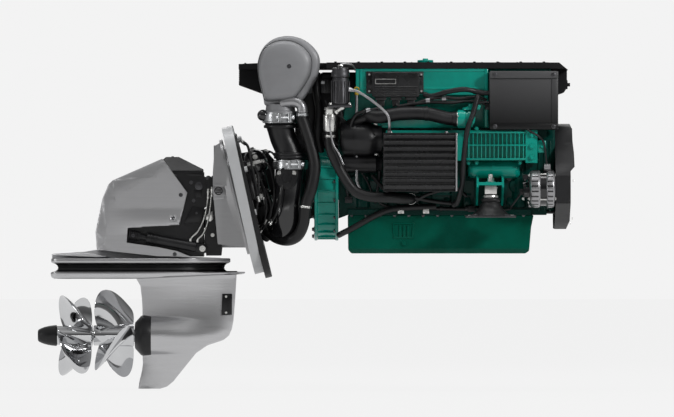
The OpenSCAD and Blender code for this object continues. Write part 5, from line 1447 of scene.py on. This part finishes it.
def build_air_box(looks):
    """Black housing and pipes aft of the charge cooler, and the hose along the sump."""
    bm = bmesh.new()
    lathe(bm, [(356, 0), (356, 56), (364, 66), (380, 70), (470, 70), (486, 66), (500, 58), (512, 56), (524, 56),
               (524, 0)],
          (0, -196, 204), "x", 40)
    band(bm, 412, 420, 70, 73, (0, -196, 204), "x", 40)
    brick(bm, (370, -200, 150), (508, -150.4, 250), 6)
    lathe(bm, [(368, 0), (368, 30), (374, 36), (500, 36), (506, 30), (524, 28), (524, 0)], (0, -196, 108), "x", 32)
    placed("air_box", bm, "satin_black", ENGINE, (), 40)
    bm = bmesh.new()
    tube(bm, [(380, -176, 256), (400, -206, 268), (440, -232, 284), (480, -238, 298), (516, -236, 312)], 17, 18, 6)
    tube(bm, [(353, -150, -176), (372, -172, -166), (404, -186, -150), (450, -190, -124), (510, -190, -92),
              (560, -190, -74),
              (640, -188, -66), (740, -186, -64)], 12, 16, 6)
    tube(bm, [(486, -196, 60), (520, -214, 20), (560, -222, -8), (640, -216, -24), (720, -206, -40),
              (800, -196, -50)], 8, 12, 6)
    tube(bm, [(860, -196, -20), (820, -214, 8), (770, -222, 4), (700, -222, -16), (660, -206, -40)], 7, 12, 6)
    placed("side_hoses", bm, "rubber", ENGINE, (), 60)
    bm = bmesh.new()
    lathe(bm, [(-22, 0), (-20, 12), (-12, 20), (0, 23), (12, 20), (20, 12), (22, 0)], (52, -196, 300), "y", 28)
    lathe(bm, [(-8, 10), (40, 10), (40, 0)], (60, -184, 300), (1, 0.2, -0.2), 16)
    placed("riser_sensor", bm, "gloss_black", ENGINE, (), 50)
    bm = bmesh.new()
    for x, z in ((384, 262), (498, 262), (384, 146), (498, 146)):
        hex_bolt(bm, (x, -200, z), (0, -1, 0), 10, 6)
    for x in (600, 700):
        brick(bm, (x - 12, -196, -90), (x + 12, -190, -70), 1)
        hex_bolt(bm, (x, -196, -82), (0, -1, 0), 9, 5)
    placed("air_box_bolts", bm, "bright_zinc", ENGINE)


def build_aft_shroud(looks):
    """Black housing, pipes and hoses between the riser and the engine's aft end."""
    bm = bmesh.new()
    slab(bm, [(268, -40), (268, 110), (258, 200), (252, 320), (262, 440), (284, 474), (440, 474), (440, 120),
              (352, 60),
              (352, -40)], -62, 62, "y", 9, 3)
    brick(bm, (280, -96, 388), (344, -58, 446), 6)
    brick(bm, (352, -108, 296), (412, -58, 352), 6)
    brick(bm, (286, -92, 236), (334, -58, 300), 5)
    for i in range(5):
        brick(bm, (288 + i * 11, -100, 394), (292 + i * 11, -92, 440), 1.5)
    lathe(bm, [(-8, 24), (-6, 28), (34, 28), (38, 24), (38, 0)], (318, -70, 190), (0, -1, 0), 32)
    slab(bm, [(178, -120), (178, 300), (198, 340), (214, 436), (264, 436), (264, -96), (226, -120)], -78, -20, "y", 8,
         3)
    slab(bm, [(-38, 152), (58, 166), (98, 122), (98, -182), (66, -205), (48, -196)], -58, 20, "y", 5, 2)
    for i in range(6):
        brick(bm, (182, -84, -90 + i * 64), (248, -76, -84 + i * 64), 1.5)
    placed("aft_shroud", bm, "satin_black", ENGINE, (), 40)
    bm = bmesh.new()
    tube(bm, [(266, -84, 470), (262, -104, 400), (274, -112, 320), (268, -108, 230), (282, -96, 150), (300, -80, 90)],
         15, 16, 6)
    tube(bm, [(356, -112, 468), (348, -128, 372), (366, -126, 268), (356, -120, 180), (372, -112, 120)], 11, 14, 6)
    tube(bm, [(300, -96, 240), (332, -122, 196), (390, -128, 172), (440, -128, 168)], 8, 12, 6)
    placed("aft_hoses", bm, "rubber", ENGINE, (), 60)
    bm = bmesh.new()
    for x, y, z in ((290, -96, 432), (334, -96, 396), (360, -108, 344), (404, -108, 304), (318, -108, 190),
                    (326, -92, 246)):
        hex_bolt(bm, (x, y, z), (0, -1, 0), 9, 5)
    placed("aft_bolts", bm, "shaft_steel", ENGINE)


def build_port_side(looks):
    """Exhaust manifold, turbocharger, water cooler and starter on the hidden side."""
    dressed("exhaust_manifold", 4.0, 3)
    bm = bmesh.new()
    lathe(bm, [(330, 30), (330, 50), (334, 58), (352, 74), (366, 80), (384, 82), (402, 78), (410, 66), (412, 52),
               (440, 50),
               (444, 62), (452, 66), (476, 66), (482, 58), (482, 0)], (0, 212, 340), "x", 56)
    tube(bm, [(384, 212, 286), (384, 226, 268), (396, 226, 240), (412, 206, 214), (424, 180, 206)], 24, 24, 6)
    placed("turbocharger", bm, "riser_grey", ENGINE, (), 40)
    bm = bmesh.new()
    for i in range(6):
        x = 510 + i * 112
        for z in (306, 356):
            hex_bolt(bm, (x - 26, 226, z), (0, 1, 0), 12, 7)
            hex_bolt(bm, (x + 26, 226, z), (0, 1, 0), 12, 7)
    for x in (340, 412):
        clamp_ring_x(bm, (x, 212, 340), 56 if x < 400 else 68)
    for x in (644, 1074):
        clamp_ring_x(bm, (x, 240, 196), 75)
    placed("port_bolts", bm, "bright_zinc", ENGINE)
    bm = bmesh.new()
    lathe(bm, [(628, 0), (628, 60), (632, 70), (640, 74), (646, 74), (648, 66), (1072, 66), (1074, 74), (1080, 74),
               (1088, 70),
               (1092, 60), (1092, 0)], (0, 240, 196), "x", 56)
    for x in (700, 1000):
        brick(bm, (x, 158.2, 176), (x + 40, 192, 216), 4)
    tube(bm, [(628, 240, 196), (600, 240, 196), (570, 226, 186), (548, 196, 170), (540, 158, 160)], 24, 20, 6)
    placed("water_cooler", bm, "engine_green", ENGINE, "heat_exchanger", 40)
    bm = bmesh.new()
    lathe(bm, [(352.2, 0), (352.2, 50), (360, 52), (380, 50), (384, 46), (520, 46), (526, 42), (540, 40), (542, 30),
               (542, 0)],
          (0, 236, 20), "x", 44)
    lathe(bm, [(372, 0), (372, 26), (494, 26), (500, 22), (500, 0)], (0, 236, 88), "x", 32)
    brick(bm, (352.2, 162.2, -10), (376, 250, 50), 4)
    placed("starter_body", bm, "satin_black", ENGINE, "starter_motor", 40)
    bm = bmesh.new()
    tube(bm, [(500, 236, 96), (520, 240, 110), (560, 210, 110), (620, 176, 90), (760, 172, 60), (900, 172, 70)], 7,
         12, 6)
    tube(bm, [(500, 244, 80), (530, 246, 60), (570, 200, 40), (640, 172, 20), (800, 170, 10)], 6, 12, 6)
    tube(bm, [(1092, 240, 196), (1120, 236, 200), (1150, 210, 220), (1168, 160, 240), (1170, 140, 262)], 22, 20, 6)
    placed("port_hoses", bm, "rubber", ENGINE, (), 60)


def clamp_ring_x(bm, at, r):
    """A clamp with its bolt, on a pipe along X."""
    band(bm, -7, 7, r, r + 2.4, at, "x", 48)
    rod(bm, -12, 12, 5, (at[0], at[1], at[2] + r + 4), (0, 1, 0), 12)


# Stage

FLOOR_Z = -0.796
FLOOR = ((-14, -14), (14, -14), (14, 30), (-14, 30))
# Brightness of the surroundings, from straight down to straight up
SKY = ((0.0, 0.5), (0.3, 0.55), (0.46, 0.3), (0.52, 0.14), (0.62, 0.1), (0.76, 0.3), (0.86, 0.55), (1.0, 0.3))
# Each lamp's place, the point it faces, its size and its power
LAMPS = (
    ("top_softbox", (0.2, -0.6, 3.6), (0.2, 0, 0), (3.4, 0.7), 44),
    ("fore_key", (4.2, -3.6, 2.4), (0.6, 0, 0), (0.8, 0.8), 120),
    ("aft_strip", (-4.4, -2.2, 0.6), (-0.3, 0, -0.3), (0.3, 2.2), 26),
    ("low_front", (-0.6, -5.0, -0.55), (-0.3, 0, -0.4), (3.4, 0.25), 4),
    ("back_rim", (0.2, 3.6, 2.2), (0.2, 0, 0), (3.6, 0.8), 30),
)
# Middle of the picture
EYE_X, EYE_Z = 0.346, -0.070


def build_floor(looks):
    """A floor that glows for the camera and in reflections, and is dull for every other ray."""
    bm = bmesh.new()
    face_from(bm, [(x, y, FLOOR_Z) for x, y in FLOOR])
    mesh = bpy.data.meshes.new("floor")
    bm.to_mesh(mesh)
    bm.free()
    f = Finish("floor_paper", (0.6, 0.6, 0.6), 0.9, 0.0, Emission_Color=grey(1))
    camera, glossy = (f.node("ShaderNodeLightPath", out=ray) for ray in ("Is Camera Ray", "Is Glossy Ray"))
    seen = f.node("ShaderNodeMath", {"operation": "MAXIMUM"}, {0: camera, 1: glossy})
    f.put("Base Color", f.node("ShaderNodeMix", {"data_type": "RGBA"}, {0: seen, 6: grey(0.45), 7: grey(0.04)},
                               out=2))
    f.put("Emission Strength", camera * looks.floor_glow + glossy * 0.85)
    f.put("Specular IOR Level", 0.0)
    mesh.materials.append(f.material)
    linked("floor", mesh)


def build_world(looks):
    """Surroundings that reflect as a studio, and a plain backdrop for the camera."""
    world = bpy.data.worlds.new("studio")
    bpy.context.scene.world = world
    world.use_nodes = True
    w = Nodes(world.node_tree)
    height = w.node("ShaderNodeSeparateXYZ", {}, {0: w.node("ShaderNodeTexCoord", out="Generated")}, out=2)
    level = w.node("ShaderNodeMapRange", {}, {0: height, 1: -1.0, 2: 1.0})
    sky = w.node("ShaderNodeValToRGB", {"stops": SKY}, {0: level})
    seen = w.node("ShaderNodeLightPath", out="Is Camera Ray")
    shown = w.node("ShaderNodeMix", {"data_type": "RGBA"}, {0: seen, 6: sky, 7: grey(looks.backdrop)}, out=2)
    back = w.tree.nodes["Background"]
    w.feed(back.inputs["Color"], shown)
    w.feed(back.inputs["Strength"], 1.0)


def build_lamps():
    """Soft lamps round the machine."""
    for name, at, aim, size, power in LAMPS:
        lamp = bpy.data.lights.new(name, "AREA")
        lamp.shape, lamp.size, lamp.size_y, lamp.energy = "RECTANGLE", *size, power
        holder = linked(name, lamp)
        holder.location = at
        holder.rotation_euler = (Vector(aim) - Vector(at)).to_track_quat("-Z", "Y").to_euler()


def build_camera(looks):
    """A long lens square to the starboard side."""
    camera = bpy.data.cameras.new("camera")
    camera.lens, camera.sensor_width, camera.sensor_fit = looks.lens, 36.0, "HORIZONTAL"
    eye = linked("camera", camera)
    eye.location = (EYE_X, -looks.distance, EYE_Z)
    eye.rotation_euler = (math.pi / 2, 0, 0)
    bpy.context.scene.camera = eye
    bpy.context.scene.view_settings.view_transform = "Standard"


def build_stage(looks):
    """Floor, surroundings, lamps and camera."""
    build_floor(looks)
    build_world(looks)
    build_lamps()
    build_camera(looks)


# Panel, settings and operators

def color_setting(name, description, default):
    """A colour that the panel shows."""
    return FloatVectorProperty(name=name, description=description, subtype="COLOR", size=3, min=0, max=1,
                               default=default)


class SternDriveLooks(bpy.types.PropertyGroup):
    cover_silver: color_setting("Cover silver", "Paint of the side covers", (0.46, 0.46, 0.47))
    cast_silver: color_setting("Cast silver", "Paint of the leg and the shield", (0.55, 0.55, 0.56))
    engine_green: color_setting("Engine green", "Enamel of the engine", (0.0, 0.4, 0.31))
    satin_black: color_setting("Satin black", "Coating of the gear housing", (0.006, 0.006, 0.007))
    crease_height: FloatProperty(name="Crease height", description="Height of the crease along a side cover",
                                 default=-0.072, unit="LENGTH")
    crease_depth: FloatProperty(name="Crease depth", description="How far a side cover stands out below its crease",
                                default=0.005, min=0, max=0.02, unit="LENGTH")
    cover_softness: IntProperty(name="Cover softness", description="Rounds of smoothing on a side cover", default=10,
                                min=0, max=80)
    front_blades: IntProperty(name="Front blades", description="Blades of the front propeller", default=3, min=2,
                              max=5)
    rear_blades: IntProperty(name="Rear blades", description="Blades of the rear propeller", default=4, min=2, max=6)
    cooler_ribs: IntProperty(name="Cooler ribs", description="Ribs across the charge cooler", default=9, min=4,
                             max=14)


class StageLooks(bpy.types.PropertyGroup):
    backdrop: FloatProperty(name="Backdrop", description="Brightness of the backdrop", default=0.896, min=0, max=1)
    floor_glow: FloatProperty(name="Floor glow", description="Light of the floor as the camera sees it", default=0.86,
                              min=0, max=1)
    lens: FloatProperty(name="Lens", description="Focal length of the camera in millimetres", default=400.0, min=20,
                        max=600)
    distance: FloatProperty(name="Distance", description="From the camera to the crankshaft axis", default=29.95,
                            unit="LENGTH")


def build_finishes(looks):
    """Makes the finishes and puts them on the CAD nodes"""
    FINISHES.update(make_finishes(looks))
    for node, finish in NODE_FINISH.items():
        slots = frame["nodes"][node].data.materials
        if not len(slots):
            slots.append(FINISHES[finish].material)
        for i in range(len(slots)):
            slots[i] = FINISHES[finish].material


def step(builder, settings="stern_drive_looks"):
    """The operator that runs one builder, under the builder's own name and text."""
    def execute(self, context):
        builder(getattr(context.scene, settings))
        return {"FINISHED"}
    name = builder.__name__.removeprefix("build_")
    return type("STERNDRIVE_OT_" + name, (bpy.types.Operator,), {
        "bl_idname": "sterndrive." + name, "bl_label": name.replace("_", " ").capitalize(),
        "__doc__": builder.__doc__, "execute": execute})


class VIEW3D_PT_stern_drive(bpy.types.Panel):
    """Steps that dress the stern drive"""

    bl_label = "Stern Drive"
    bl_space_type = "VIEW_3D"
    bl_region_type = "UI"
    bl_category = "Stern Drive"

    def draw(self, context):
        for group in (context.scene.stern_drive_looks, context.scene.stern_drive_stage):
            for name in group.__annotations__:
                self.layout.prop(group, name)
        for made in OPERATORS:
            self.layout.operator(made.bl_idname)


OPERATORS = [step(builder) for builder in (
    build_finishes, build_covers, build_plates, build_leg, build_propellers, build_gear_housing, build_rams,
    build_yoke, build_bellows, build_shield, build_trim_pump, build_riser, build_hoses, build_bell, build_block,
    build_top_cover, build_manifold, build_cooler, build_control_unit, build_service_cover, build_filter,
    build_front_end, build_feet, build_wiring, build_air_box, build_aft_shroud, build_port_side)]
OPERATORS.append(step(build_stage, "stern_drive_stage"))
CLASSES = [SternDriveLooks, StageLooks, *OPERATORS, VIEW3D_PT_stern_drive]


def register():
    for made in CLASSES:
        bpy.utils.register_class(made)
    bpy.types.Scene.stern_drive_looks = PointerProperty(type=SternDriveLooks)
    bpy.types.Scene.stern_drive_stage = PointerProperty(type=StageLooks)


def unregister():
    del bpy.types.Scene.stern_drive_looks
    del bpy.types.Scene.stern_drive_stage
    for made in reversed(CLASSES):
        bpy.utils.unregister_class(made)


def main():
    register()
    for made in OPERATORS:
        group, name = made.bl_idname.split(".")
        getattr(getattr(bpy.ops, group), name)()


if __name__ == "__main__":
    main()
